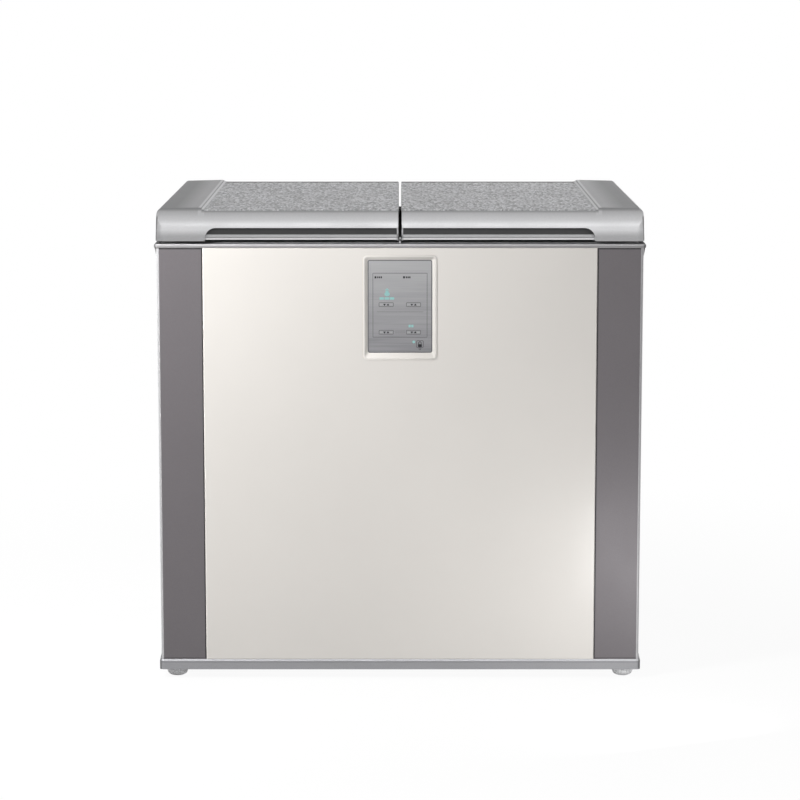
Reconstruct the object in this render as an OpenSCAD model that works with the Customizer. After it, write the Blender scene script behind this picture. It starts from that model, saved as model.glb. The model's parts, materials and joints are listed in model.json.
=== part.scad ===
// Two-lid chest refrigerator for fermented food, with stepped cold wells, a rear machine room
// and a sprung hinge pair under each lid. Millimetres. The floor is z = 0 and the front faces -y.

/* [Cabinet] */
// Width over the side panels
body_w = 925; // [890:5:1000]
// Depth from the front pillars to the back of the rear panel
body_d = 725; // [700:5:780]
// Height of the side panels, from base trim to top trim
body_h = 800; // [770:5:850]
// Clear height under the base trim
ground_gap = 18; // [17:1:28]
// Height of the base trim
base_h = 20; // [18:1:28]
// Height of the trim round the top
trim_h = 8; // [6:1:12]
// How far the top trim stands out past a side panel
trim_out = 4.5; // [2:0.5:6]
// How far the base trim stands out past a side panel
base_out = 3.5; // [1:0.5:5]
// How far the trims stand out past the front pillars
trim_proud = 2.5; // [2:0.5:3.5]
// Thickness of the outer steel sheet
sheet = 1.2; // [0.8:0.1:1.6]

/* [Front] */
// Width of a front pillar
pillar_w = 80.5; // [60:0.5:100]
// Radius of the side panel's front edge
edge_r = 5; // [4:0.5:8]
// How far the front panel stands out past the pillars
panel_proud = 1.5; // [1:0.25:2]
// Depth of the front panel's folded rim
panel_rim = 5.2; // [4.5:0.1:7]
// Dark gap between the front panel and a pillar
panel_gap = 2; // [1:0.25:3]
// Width of the display window
display_w = 123; // [100:1:150]
// Height of the display window
display_h = 178; // [150:1:200]
// Height from the window's top edge to the top trim
display_drop = 23; // [18:1:60]
// Width of the display frame at the sides and top
frame_edge = 9; // [7:0.5:14]
// Width of the display frame at the bottom
frame_chin = 13; // [9:0.5:20]
// How far the display lies behind the front panel's face
display_sunk = 3.2; // [2:0.1:3.6]

/* [Lids] */
// Height of a lid from its lower edge to the patterned top
lid_h = 58; // [54:1:70]
// Gap between a lid and the cabinet's deck, filled by the gasket
lid_lift = 5; // [4:0.5:7]
// Slit between the two lids
lid_slit = 5.5; // [4:0.5:8]
// How far a lid stands out past a side panel
lid_out = 1.5; // [0:0.5:2]
// How far the lids' nose stands out past the front pillars
nose_proud = 4; // [3.5:0.5:8]
// Radius of the rounded nose
nose_r = 36; // [34:1:42]
// Radius of the outer top edge
lid_side_r = 9; // [8:1:14]
// Wall thickness of the lid cover
lid_wall = 3.2; // [2.8:0.1:4]
// Thickness of the patterned top sheet
skin = 1.5; // [1:0.1:2]
// Rise of the end zone's inner edge above the patterned top
crown_in = 4; // [2.5:0.5:5]
// Rise of the end zone's outer edge above the patterned top
crown_out = 2; // [1:0.5:2.5]
// How deep the lid liner reaches into the well
plug_depth = 24; // [15:1:35]

/* [Grip] */
// Height of the finger opening in the lid's nose
grip_h = 25; // [20:1:28]
// Radius of the finger channel
cove_r = 12; // [10:0.5:13]
// Corner radius of the finger opening
grip_corner_r = 20; // [10:1:21]

/* [Wells] */
// Insulation between a well and the side panel beside it
side_wall = 80; // [70:1:95]
// Insulation behind the wells
rear_wall = 82; // [76:1:100]
// Corner radius of a well
tank_r = 28; // [20:1:40]
// Wall thickness of a well
tank_wall = 2; // [1.5:0.1:3]
// Width of the wall between the wells
divider_w = 65; // [60:1:80]
// Insulation in front of the wells
front_wall = 83; // [78:1:95]
// Insulation under a well
floor_wall = 77; // [65:1:90]
// Height of the rear floor above the front floor
step_rise = 288; // [260:1:300]
// Insulation between a well and the machine room
foam_wall = 60; // [45:1:65]
// Depth of the mouth's collar
collar_h = 26; // [20:1:36]
// Width of the gasket
gasket_w = 12; // [8:0.5:14]
// Gap from the mouth to the gasket
gasket_out = 16; // [13:0.5:17]
// Number of turns of evaporator tube on a well
coil_turns = 6; // [4:1:7]
// Height of the flattened evaporator tube
coil_h = 9; // [6:0.5:12]
// Thickness of the flattened evaporator tube
coil_t = 4; // [3:0.5:5]

/* [Hinges] */
// Radius of a hinge pin
pin_r = 4; // [3:0.25:4.5]
// Outer radius of the hinge knuckles
knuckle_r = 7; // [6:0.25:7.5]
// Length of a hinge
hinge_w = 84; // [74:2:100]
// Distance between the two hinges of a lid
hinge_pitch = 250; // [200:5:280]
// Distance of the hinge pin behind the rear panel
pin_back = 8; // [8:0.25:10]
// How far the hinge covers reach behind the rear panel
rear_reach = 21; // [19:0.5:26]

/* [Feet and wheels] */
// Radius of a levelling foot
foot_r = 20; // [16:1:24]
// Distance of a foot's centre inside the side panel
foot_inset = 28.5; // [28:0.5:40]
// Distance of a foot's centre behind the pillars
foot_back = 35; // [32:1:60]
// Radius of a foot's stud
stud_r = 5; // [4:0.5:6]
// Radius of a rear wheel
wheel_r = 15; // [12:0.5:15]
// Width of a rear wheel
wheel_w = 14; // [10:1:18]
// Radius of a wheel's axle
axle_r = 3; // [2:0.25:4]

/* [Machine room] */
// Radius of the compressor's shell
comp_r = 74; // [60:1:80]
// Height of the compressor's shell
comp_h = 165; // [140:1:180]
// Radius of the condenser fan
fan_r = 60; // [45:1:70]
// Number of fan blades
fan_blades = 5; // [3:1:7]
// Number of condenser passes
passes = 8; // [5:1:9]

/* [Food tubs] */
// Gap from a tub's lid to the well's side
tub_side_gap = 6; // [4:1:20]
// Gap between two tubs, and from a tub to the well's front and back
tub_end_gap = 8; // [4:1:16]
// Wall thickness of a tub
tub_wall = 2.5; // [2:0.1:4]
// Height of an upper tub with its lid
tub_h = 205; // [170:5:215]
// Corner radius of a tub
tub_r = 24; // [16:1:30]

/* [Hidden] */
$fn = 48;
fit = 0.3;        // clearance between pieces that are assembled
run = 0.05;       // radial running clearance of a pin or stud

// Overall places
cab_front = -(nose_proud + body_d + rear_reach) / 2 + nose_proud;
cab_back = cab_front + body_d;
side_x = body_w / 2;
base_z = ground_gap;
body_z = base_z + base_h;
trim_z = body_z + body_h;
deck_z = trim_z + trim_h;
foam_front = cab_front - panel_proud + panel_rim;
trim_r = 7;       // corner radius of the top trim, and the width of its bead
base_r = 8;       // corner radius of the base trim, and its width

// Front
panel_x = side_x - edge_r - pillar_w - panel_gap;
pillar_t = 2.5;
window_top = trim_z - display_drop;
window_bottom = window_top - display_h;
panel_face = cab_front - panel_proud;
frame_proud = 0.8;
frame_back = panel_face + 9;
frame_r = 8;
rim_w = 3;        // flat rim of the display frame, round its dish
board_y = frame_back - 2.4;

// Lids
lid_front = cab_front - nose_proud;
lid_back = cab_back - 2;
lid_z = deck_z + lid_lift;
skin_z = lid_z + lid_h;
lid_inner_x = lid_slit / 2;
lid_outer_x = side_x + lid_out;
lid_flare = 3;
end_x = panel_x - 3;
bevel_w = 8;
nose_z = skin_z + crown_in + 0.5 - nose_r;

// Grip, in the right-hand lid
grip_wall = 2.5;
grip_x0 = lid_inner_x + lid_wall + fit;
grip_x1 = end_x;
grip_top = lid_z + grip_h;
cove_y = lid_front + cove_r + 6;
cove_low = lid_z + cove_r + 4;
cove_high = grip_top - 1;
lip_y = cove_y - 3;
grip_front = lid_front + lid_wall + fit;
grip_back = cove_y + cove_r + grip_wall;

// Wells
tank_w = body_w / 2 - side_wall - divider_w / 2;
well_x = (tank_w + divider_w) / 2;
well_y0 = cab_front + front_wall;
well_y1 = cab_back - rear_wall;
tub_w = tank_w - 2 * tub_side_gap;
tub_d = (well_y1 - well_y0 - 3 * tub_end_gap) / 2;
step_d = tub_d + tub_end_gap;
step_y = well_y1 - step_d;
front_floor = body_z + floor_wall;
rear_floor = front_floor + step_rise;
well_top = deck_z - collar_h;
deck_t = 3;
flange_t = 2.5;
trim_in = 12;

// Machine room
room_y = step_y + foam_wall;
room_top = rear_floor - tank_wall - foam_wall;

// Hinges
pin_y = cab_back + pin_back;
pin_z = deck_z + lid_lift / 2;
lid_mid_x = (lid_inner_x + lid_outer_x) / 2;
hinge_x = [lid_mid_x - hinge_pitch / 2, lid_mid_x + hinge_pitch / 2];
knuckle_l = 14;
arm_x0 = -10;
arm_x1 = hinge_w / 2 - knuckle_l - 1;
leaf_t = 2.5;

// Feet and wheels
foot_x = side_x - foot_inset;
foot_y = cab_front + foot_back;
foot_h = ground_gap - 4;
pan_t = 2.5;
pan_z = body_z - pan_t;
wheel_x = side_x - 75;
wheel_y = cab_back - 50;

// Tubs
tub_front_y = (well_y0 + step_y) / 2;
tub_rear_y = (step_y + well_y1) / 2;
tub_rim = 4;
tub_lid_t = 9;

// ---- Shapes that repeat ----

function arc(c, r, a0, a1, n) = [for (i = [0:n]) let (a = a0 + (a1 - a0) * i / n)
    [c[0] + r * cos(a), c[1] + r * sin(a)]];

// Corner p1 of a path p0-p1-p2, rounded to radius r
function corner(p0, p1, p2, r, n = 8) = r <= 0 ? [p1] : let (
    v = (p0 - p1) / norm(p0 - p1),
    w = (p2 - p1) / norm(p2 - p1),
    half = acos(v * w) / 2,
    mid = p1 + (v + w) / norm(v + w) * r / sin(half),
    s = p1 + v * r / tan(half) - mid,
    e = p1 + w * r / tan(half) - mid,
    a = atan2(s[1], s[0]),
    b = atan2(e[1], e[0]) - a,
    turn = b > 180 ? b - 360 : b < -180 ? b + 360 : b)
    arc(mid, r, a, a + turn, n);

// Closed outline with a radius at each point: [[x, y, r], ...]
function rounded(pts) = let (n = len(pts)) [for (i = [0:n - 1]) let (
    p = pts[(i + n - 1) % n], q = pts[i], s = pts[(i + 1) % n])
    each corner([p[0], p[1]], [q[0], q[1]], [s[0], s[1]], q[2])];

module box(x0, x1, y0, y1, z0, z1) {
    translate([x0, y0, z0]) cube([x1 - x0, y1 - y0, z1 - z0]);
}

// A flat shape drawn in y and z, drawn out along x
module along_x(x0, x1) {
    translate([x0, 0, 0]) rotate([90, 0, 90]) linear_extrude(height = x1 - x0) children();
}

// A flat shape drawn in x and z, drawn out along y
module along_y(y0, y1) {
    translate([0, y1, 0]) rotate([90, 0, 0]) linear_extrude(height = y1 - y0) children();
}

module along_z(z0, z1) {
    translate([0, 0, z0]) linear_extrude(height = z1 - z0) children();
}

module round_rect(x0, x1, y0, y1, r) {
    translate([x0 + r, y0]) square([x1 - x0 - 2 * r, y1 - y0]);
    translate([x0, y0 + r]) square([x1 - x0, y1 - y0 - 2 * r]);
    for (x = [x0 + r, x1 - r], y = [y0 + r, y1 - r]) translate([x, y]) circle(r);
}

// A profile (outward distance, height) carried round a rectangle with rounded corners
module ring_sweep(x0, x1, y0, y1, r) {
    long_x = x1 - x0 - 2 * r;
    long_y = y1 - y0 - 2 * r;
    for (c = [[x1 - r, y1 - r, 0, long_y], [x0 + r, y1 - r, 90, long_x],
              [x0 + r, y0 + r, 180, long_y], [x1 - r, y0 + r, 270, long_x]])
        translate([c[0], c[1], 0]) rotate([0, 0, c[2]]) {
            rotate_extrude(angle = 90) translate([r, 0]) children();
            rotate([90, 0, 0]) linear_extrude(height = c[3]) translate([r, 0]) children();
        }
}

module both_sides() {
    children();
    mirror([1, 0, 0]) children();
}

module rod_x(x0, x1, y, z, r) {
    translate([x0, y, z]) rotate([0, 90, 0]) cylinder(h = x1 - x0, r = r);
}

module rod_y(x, y0, y1, z, r) {
    translate([x, y0, z]) rotate([-90, 0, 0]) cylinder(h = y1 - y0, r = r);
}

module rod_z(x, y, z0, z1, r) {
    translate([x, y, z0]) cylinder(h = z1 - z0, r = r);
}

// Straight round bar from a to b, where only one coordinate changes
module bar(a, b, r) {
    d = b - a;
    u = d / norm(d);
    turn = abs(u[0]) > 0.5 ? [0, 90 * sign(u[0]), 0] : abs(u[1]) > 0.5 ? [-90 * sign(u[1]), 0, 0]
        : u[2] < 0 ? [180, 0, 0] : [0, 0, 0];
    translate(a) rotate(turn) cylinder(h = norm(d), r = r);
}

// Quarter bend at p, from direction u into direction v
module elbow(p, u, v, bend, r) {
    c = p - bend * u + bend * v;
    w = cross(-v, u);
    multmatrix([[-v[0], u[0], w[0], c[0]], [-v[1], u[1], w[1], c[1]], [-v[2], u[2], w[2], c[2]]])
        rotate_extrude(angle = 90) translate([bend, 0]) circle(r);
}

// Pipe along points whose stretches run square to each other
module pipe(pts, bend, r) {
    n = len(pts) - 1;
    dir = [for (i = [0:n - 1]) (pts[i + 1] - pts[i]) / norm(pts[i + 1] - pts[i])];
    for (i = [0:n - 1])
        bar(pts[i] + (i > 0 ? bend : 0) * dir[i], pts[i + 1] - (i < n - 1 ? bend : 0) * dir[i], r);
    for (i = [1:n - 1]) elbow(pts[i], dir[i - 1], dir[i], bend, r);
}

// ---- Cabinet ----

skirt_front = 8;   // a trim's side wedge starts this far behind the pillars
skirt_back = 20;   // and ends this far before the rear panel

module base_trim() {
    color("darkgray") {
        ring_sweep(-side_x - base_out, side_x + base_out, cab_front - trim_proud, cab_back, base_r)
            polygon([[-base_r, base_z], [0, base_z], [0, body_z - 3], [-1.8, body_z],
                     [-base_r, body_z]]);
        // wedges that shed dust from the ledge beside the side panels
        both_sides() along_y(cab_front + skirt_front, cab_back - skirt_back)
            polygon([[side_x, body_z - 0.5], [side_x + base_out - 0.5, body_z - 2],
                     [side_x + base_out - 0.8, body_z], [side_x, body_z + 12]]);
    }
}

channel_x = 160;   // stiffening channels under the pan
channel_w = 24;
channel_h = 8;
boss_wall = 4;     // wall of the boss round a foot's stud

module floor_pan() {
    channel_end = 60;
    x1 = side_x + base_out - base_r;
    color("silver") difference() {
        union() {
            box(-x1, x1, cab_front - trim_proud + base_r, cab_back - base_r, pan_z, body_z);
            // each boss comes down to the foot that is screwed into it
            both_sides() rod_z(foot_x, foot_y, foot_h + fit, pan_z, stud_r + boss_wall);
            both_sides() box(channel_x - channel_w / 2, channel_x + channel_w / 2,
                             cab_front + channel_end, cab_back - channel_end, pan_z - channel_h, pan_z);
        }
        both_sides() rod_z(foot_x, foot_y, 0, body_z + 1, stud_r + run);
        both_sides() box(channel_x - channel_w / 2 + pan_t, channel_x + channel_w / 2 - pan_t,
                         cab_front, cab_back, pan_z - channel_h - 1, pan_z - pan_t);
    }
}

flange_w = 24;     // side panel's flange behind the pillar
back_flange = 16;  // side panel's flange under the rear panel

// Side sheet: flat side, rounded front edge and a flange behind the pillar
module side_panel_plan() {
    edge_x = side_x - edge_r;
    translate([side_x - sheet, cab_front + edge_r])
        square([sheet, body_d - edge_r - sheet]);
    intersection() {
        translate([edge_x, cab_front + edge_r]) difference() {
            circle(edge_r);
            circle(edge_r - sheet);
        }
        translate([edge_x, cab_front]) square([edge_r, edge_r]);
    }
    translate([edge_x - flange_w, cab_front + pillar_t]) square([flange_w, sheet]);
    translate([edge_x, cab_front]) square([sheet, pillar_t + sheet]);
}

module side_panel() {
    color("lightgray") {
        along_z(body_z, trim_z) side_panel_plan();
        box(side_x - back_flange, side_x, cab_back - 2 * sheet, cab_back - sheet, body_z, trim_z);
    }
}

module rear_panel() {
    bead_r = 3;
    bead_depth = 0.4;
    bead_l = 120;
    bead_pitch = 200;
    bead_z = (room_top + trim_z) / 2 - 40;
    color("silver") difference() {
        box(-side_x, side_x, cab_back - sheet, cab_back, room_top, trim_z);
        // pressed stiffening beads
        for (x = [-1.5 * bead_pitch : bead_pitch : 1.5 * bead_pitch])
            along_x(x - bead_l / 2, x + bead_l / 2)
                translate([cab_back + bead_r - bead_depth, bead_z]) circle(bead_r);
    }
}

module pillar() {
    groove = 0.8;  // the pillar's ledge runs in behind the gap beside the front panel
    color("dimgray") difference() {
        box(panel_x, side_x - edge_r, cab_front, cab_front + pillar_t, body_z, trim_z);
        box(panel_x - 1, panel_x + panel_gap, cab_front - 1, cab_front + groove, 0, deck_z);
    }
}

module front_panel() {
    x0 = display_w / 2 + frame_edge;
    rim = 1.4;
    color("ivory") difference() {
        along_x(-panel_x, panel_x) polygon(rounded([
            [panel_face, body_z, rim], [panel_face, trim_z, rim],
            [foam_front, trim_z, 0], [foam_front, body_z, 0]]));
        box(-panel_x + sheet, panel_x - sheet, panel_face + sheet, foam_front + 1,
            body_z + sheet, trim_z - sheet);
        along_y(panel_face - 1, foam_front)
            round_rect(-x0 - fit, x0 + fit, window_bottom - frame_chin - fit,
                       window_top + frame_edge + fit, frame_r + fit);
        both_sides() translate([panel_x, panel_face, 0]) rotate([0, 0, 45])
            box(-1, 1, -1, 1, 0, deck_z);
    }
}

module top_trim() {
    x1 = side_x + trim_out;
    y0 = cab_front - trim_proud;
    skirt_h = 18;
    color("silver") {
        ring_sweep(-x1, x1, y0, cab_back, trim_r)
            polygon([[-trim_r, trim_z], [-0.8, trim_z], [0, trim_z + 1.5], [0, deck_z - 2.2],
                     [-2.2, deck_z], [-trim_r, deck_z]]);
        // flat inside of the bead, down to the deck
        along_z(trim_z, deck_z) difference() {
            translate([-x1 + trim_r - 1, y0 + trim_r - 1])
                square([2 * (x1 - trim_r + 1), cab_back - y0 - 2 * (trim_r - 1)]);
            translate([-x1 + trim_in, y0 + trim_in])
                square([2 * (x1 - trim_in), cab_back - y0 - 2 * trim_in]);
        }
        // wedges that carry the overhang back to the side panels
        both_sides() along_y(cab_front + skirt_front, cab_back - skirt_back)
            polygon([[side_x, trim_z - skirt_h], [side_x + trim_out - 1, trim_z],
                     [side_x + trim_out - 1, trim_z + 2], [side_x, trim_z + 2]]);
    }
}

module mouth_outline(x0, o) {
    round_rect(x0 - tank_w / 2 - o, x0 + tank_w / 2 + o, well_y0 - o, well_y1 + o, tank_r + o);
}

module mouth_frame() {
    deck_x = side_x + trim_out - trim_in;
    color("gainsboro") difference() {
        union() {
            box(-deck_x, deck_x, cab_front - trim_proud + trim_in, cab_back - trim_in,
                deck_z - deck_t, deck_z);
            for (s = [-1, 1]) along_z(well_top, deck_z) mouth_outline(s * well_x, deck_t);
            // rib that shows through the slit between the lids
            box(-1.5, 1.5, cab_front - trim_proud + trim_in, cab_back - trim_in,
                deck_z, deck_z + lid_lift - 1.5);
        }
        for (s = [-1, 1]) along_z(well_top - 1, deck_z + 1) mouth_outline(s * well_x, 0);
    }
}

well_lip = 9;      // reach of the well's rim under the collar

// Deep front compartment of a well
module deep_outline(o) {
    round_rect(well_x - tank_w / 2 - o, well_x + tank_w / 2 + o, well_y0 - o, step_y + o, tank_r + o);
}

// Outer form of a whole well
module well_solid(top) {
    along_z(rear_floor - tank_wall, top) mouth_outline(well_x, tank_wall);
    along_z(front_floor - tank_wall, rear_floor - tank_wall / 2) deep_outline(tank_wall);
}

// Walls of a well, one sheet bent round and flanged out at the rim
module well() {
    color("lightsteelblue") difference() {
        union() {
            along_z(rear_floor, well_top) mouth_outline(well_x, tank_wall);
            along_z(well_top - tank_wall, well_top) mouth_outline(well_x, well_lip);
        }
        along_z(rear_floor - 1, well_top + 1) mouth_outline(well_x, 0);
    }
}

// Pressed bottom of a well: the step's shelf and the deep front compartment
module well_pan() {
    color("slategray") difference() {
        well_solid(rear_floor);
        along_z(front_floor, rear_floor + 1) deep_outline(0);
    }
}

coil_gap = 20;     // half the opening of a turn at the back, where it climbs to the next
coil_low = rear_floor + 45;
coil_pitch = (well_top - 60 - coil_low) / max(coil_turns - 1, 1);
function coil_z(i) = coil_low + i * coil_pitch;

// One turn of flattened tube against the well, and its climb to the next turn
module coil_turn(z, last) {
    half = coil_h / 2;
    y0 = well_y1 + tank_wall;
    along_z(z - half, z + half) difference() {
        mouth_outline(well_x, tank_wall + coil_t);
        mouth_outline(well_x, tank_wall);
        translate([well_x - coil_gap, well_y1]) square([2 * coil_gap, tank_wall + coil_t + 1]);
    }
    if (!last) along_y(y0, y0 + coil_t) polygon([
        [well_x - coil_gap - coil_h, z - half], [well_x - coil_gap, z - half],
        [well_x + coil_gap + coil_h, z + coil_pitch + half], [well_x + coil_gap, z + coil_pitch + half]]);
}

module evaporator() {
    color("peru") for (i = [0:coil_turns - 1]) coil_turn(coil_z(i), i == coil_turns - 1);
}

module sensor_cover() {
    half_w = 22;
    depth = 8;
    low = well_top - 60;
    high = well_top - 20;
    slot_pitch = 8;
    slot_w = 4;
    rim = 6;
    color("white") difference() {
        box(well_x - half_w, well_x + half_w, well_y1 - depth, well_y1, low, high);
        for (i = [-2:2]) let (x = well_x + i * slot_pitch)
            box(x - slot_w / 2, x + slot_w / 2, well_y1 - depth - 1, well_y1 - 2, low + rim, high - rim);
    }
}

module insulation_foam() {
    in_x = side_x - sheet;
    o = tank_wall + coil_t;
    color("khaki") difference() {
        union() {
            box(-in_x, in_x, foam_front, cab_back - 2 * sheet, body_z, deck_z - deck_t);
            box(-panel_x + sheet, panel_x - sheet, panel_face + sheet, foam_front + 1,
                body_z + sheet, trim_z - sheet);
        }
        // flange of the side panels, top trim and top collar
        both_sides() {
            box(side_x - back_flange, side_x, cab_back - 2 * sheet - 1, cab_back, 0, deck_z);
            box(side_x - edge_r - flange_w, side_x, cab_front, cab_front + pillar_t + sheet, 0,
                deck_z);
            along_z(0, deck_z) translate([side_x - edge_r, cab_front]) square([edge_r, edge_r]);
        }
        difference() {
            box(-side_x - 9, side_x + 9, cab_front - 9, cab_back + 9, trim_z, deck_z);
            box(-side_x - trim_out + trim_in, side_x + trim_out - trim_in,
                cab_front - trim_proud + trim_in, cab_back - trim_in, trim_z - 1, deck_z + 1);
        }
        for (s = [-1, 1]) along_z(well_top, deck_z) mouth_outline(s * well_x, deck_t);
        both_sides() {
            well_solid(well_top + 1);
            along_z(well_top - tank_wall, well_top) mouth_outline(well_x, well_lip);
            for (i = [0:coil_turns - 1]) along_z(coil_z(i) - coil_h / 2, coil_z(i) + coil_h / 2)
                mouth_outline(well_x, o);
            box(well_x - coil_gap - coil_h, well_x + coil_gap + coil_h, well_y1, well_y1 + o,
                coil_z(0) - coil_h / 2, coil_z(coil_turns - 1) + coil_h / 2);
            rod_z(foot_x, foot_y, 0, body_z + 45, stud_r + 1);
        }
        // machine room and display pocket
        box(-side_x, side_x, room_y, cab_back + 1, 0, room_top);
        box(-display_w / 2 - frame_edge - 1, display_w / 2 + frame_edge + 1,
            panel_face - 1, frame_back + 16, window_bottom - frame_chin - 1,
            window_top + frame_edge + 1);
    }
}

// ---- Display ----

module display_frame() {
    x0 = display_w / 2;
    x1 = x0 + frame_edge;
    z0 = window_bottom - frame_chin;
    z1 = window_top + frame_edge;
    color("ivory") difference() {
        along_y(panel_face - frame_proud, frame_back) round_rect(-x1, x1, z0, z1, frame_r);
        // dish from the rim down to the window
        hull() {
            along_y(panel_face - frame_proud - 1, panel_face - frame_proud)
                round_rect(-x1 + rim_w, x1 - rim_w, z0 + rim_w, z1 - rim_w, frame_r - rim_w + 1, $fn = 32);
            along_y(panel_face + display_sunk - 0.1, panel_face + display_sunk)
                round_rect(-x0, x0, window_bottom, window_top, 4, $fn = 32);
        }
        along_y(panel_face + display_sunk - 1, frame_back + 1)
            round_rect(-x0, x0, window_bottom, window_top, 4);
    }
}

module display_window() {
    color("slategray") along_y(panel_face + display_sunk, board_y)
        round_rect(-display_w / 2 + fit / 3, display_w / 2 - fit / 3, window_bottom + fit / 3,
                   window_top - fit / 3, 3.8);
}

module display_board() {
    color("green") {
        box(-display_w / 2 + 6, display_w / 2 - 6, board_y, board_y + 1.6, window_bottom + 8,
            window_top - 8);
        // segment display, chips and plug on the back
        for (z = [window_bottom + 40, window_top - 60])
            box(-30, 30, board_y + 1.6, board_y + 6, z - 14, z + 14);
        box(-18, 18, board_y + 1.6, board_y + 10, window_bottom + 80, window_bottom + 92);
    }
}

// ---- Lids, drawn for the right-hand side ----

// Outer form of a lid, set in by t; the bottom runs on down where t > 0, to leave a shell open
module lid_form(t) {
    low = t > 0 ? lid_z - 10 : lid_z;
    intersection() {
        along_y(lid_front, lid_back) polygon(rounded([
            [lid_inner_x + t, low, 0], [lid_inner_x + t, skin_z - t, t > 0 ? 0 : 1.5],
            [end_x + t / 2, skin_z - t, 0], [end_x + bevel_w + t / 2, skin_z + crown_in - t, 1],
            [lid_outer_x - lid_flare - t, skin_z + crown_out - t, lid_side_r - t],
            [lid_outer_x - t, low, 0]]));
        along_x(0, lid_outer_x + 1) polygon(concat(
            [[lid_back - t, low], [lid_front + t, low]],
            arc([lid_front + nose_r, nose_z], nose_r - t, 180, 90, 20),
            corner([lid_front + nose_r, nose_z + nose_r - t],
                   [lid_back - t, nose_z + nose_r - t], [lid_back - t, low], 6 - t)));
        along_z(low, skin_z + 10) polygon(rounded([
            [lid_inner_x + t, lid_front + t, t > 0 ? 0 : 2], [lid_outer_x - t, lid_front + t, 13 - t],
            [lid_outer_x - t, lid_back - t, 9 - t], [lid_inner_x + t, lid_back - t, t > 0 ? 0 : 2]]));
    }
}

// Channel for the fingers, open to the front, to the slit, and down in front of its lip
module grip_space() {
    x0 = lid_inner_x - 1;
    x1 = grip_x1 - grip_wall;
    intersection() {
        along_y(lid_front - 5, cove_y) polygon(rounded([
            [x0, lid_z - 5, 0], [x1, lid_z - 5, 0], [x1, grip_top, grip_corner_r], [x0, grip_top, 0]]));
        along_x(x0, x1) translate([lid_front - 5, lid_z - 5])
            square([lip_y - lid_front + 5, grip_h + 5]);
    }
    intersection() {
        along_y(cove_y - cove_r, cove_y + cove_r) polygon(rounded([
            [x0, lid_z - 5, 0], [x1, lid_z - 5, 0],
            [x1, cove_high + cove_r, grip_corner_r], [x0, cove_high + cove_r, 0]]));
        along_x(x0, x1) {
            for (z = [cove_low, cove_high]) translate([cove_y, z]) circle(cove_r);
            translate([cove_y - cove_r, cove_low]) square([2 * cove_r, cove_high - cove_low]);
        }
    }
}

module lid_cover() {
    color("silver") difference() {
        lid_form(0);
        lid_form(lid_wall);
        box(0, end_x, lid_front, cab_back + 1, skin_z - skin, skin_z + 5);
        grip_space();
    }
}

module lid_skin() {
    edge = 0.5;    // shadow gap round the patterned sheet
    y0 = lid_front + nose_r - sqrt(pow(nose_r, 2) - pow(skin_z - nose_z, 2)) + edge;
    color("gray") along_z(skin_z - skin, skin_z) polygon(rounded([
        [lid_inner_x + edge, y0, 3], [end_x - 0.1, y0, 0],
        [end_x - 0.1, lid_back - 3 * edge, 0], [lid_inner_x + edge, lid_back - 3 * edge, 3]]));
}

module lid_grip() {
    color("dimgray") difference() {
        along_x(grip_x0, grip_x1) polygon(rounded([
            [grip_front, lid_z + 1.5, 0], [grip_back, lid_z + 1.5, 2],
            [grip_back, cove_high + cove_r + grip_wall, 6],
            [grip_front + 2, cove_high + cove_r + grip_wall, 8], [grip_front, grip_top + 4, 0]]));
        grip_space();
    }
}

plug_gap = 5;

module plug_outline(o) {
    round_rect(well_x - tank_w / 2 + plug_gap + o, well_x + tank_w / 2 - plug_gap - o,
               well_y0 + plug_gap + o, well_y1 - plug_gap - o, tank_r - plug_gap);
}

module lid_liner() {
    x0 = lid_inner_x + lid_wall + fit;
    x1 = lid_outer_x - lid_wall - 3 * fit;
    y0 = lid_front + lid_wall + fit + 0.2;
    color("white") difference() {
        union() {
            along_z(lid_z, lid_z + flange_t) polygon(rounded([
                [grip_x1 + fit, y0, 0], [x1, y0, 11], [x1, lid_back - lid_wall - fit, 7],
                [x0, lid_back - lid_wall - fit, 0], [x0, grip_back + fit, 0],
                [grip_x1 + fit, grip_back + fit, 0]]));
            along_z(lid_z - plug_depth, lid_z + 1) plug_outline(0);
        }
        along_z(lid_z - plug_depth + 2, lid_z + flange_t + 1) plug_outline(2);
        // shallow panel pressed into the liner's face
        along_z(lid_z - plug_depth - 1, lid_z - plug_depth + 0.8) plug_outline(34);
    }
}

module lid_foam() {
    x1 = lid_outer_x - lid_side_r - 8;
    color("khaki") {
        box(lid_inner_x + lid_wall + fit, x1, grip_back + fit, lid_back - lid_wall - fit,
            lid_z + flange_t, skin_z - lid_wall - fit);
        along_z(lid_z - plug_depth + 2, lid_z + flange_t + 1) plug_outline(2);
    }
}

// Bellows with a waist between the flange in the liner and the magnet pocket
module gasket() {
    o = gasket_out + gasket_w / 2;
    flange = gasket_w / 2;
    pocket = flange - 1.2;
    waist = flange - 2.8;
    low = deck_z + fit;
    free = lid_z - low;
    half = [[flange, lid_z], [flange, lid_z - 0.2 * free], [waist, lid_z - 0.4 * free],
            [pocket, low + 0.4 * free], [pocket, low + 0.15 * free], [pocket - 0.6, low]];
    color("black") ring_sweep(well_x - tank_w / 2 - o, well_x + tank_w / 2 + o,
                              well_y0 - o, well_y1 + o, tank_r + o)
        polygon(concat([for (p = half) [-p[0], p[1]]], [for (i = [len(half) - 1:-1:0]) half[i]]));
}

// ---- Hinges, drawn for the right-hand lid ----

head_r = 3.6;      // screw heads
head_h = 1.6;
arm_leaf_h = 40;   // top of the arm's leaf above the lid's lower edge
base_high = 10;    // top and bottom of the base's leaf below the top trim
base_low = 52;

module screw_head(x, y, z) {
    rod_y(x, y, y + head_h, z, head_r);
}

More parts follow.
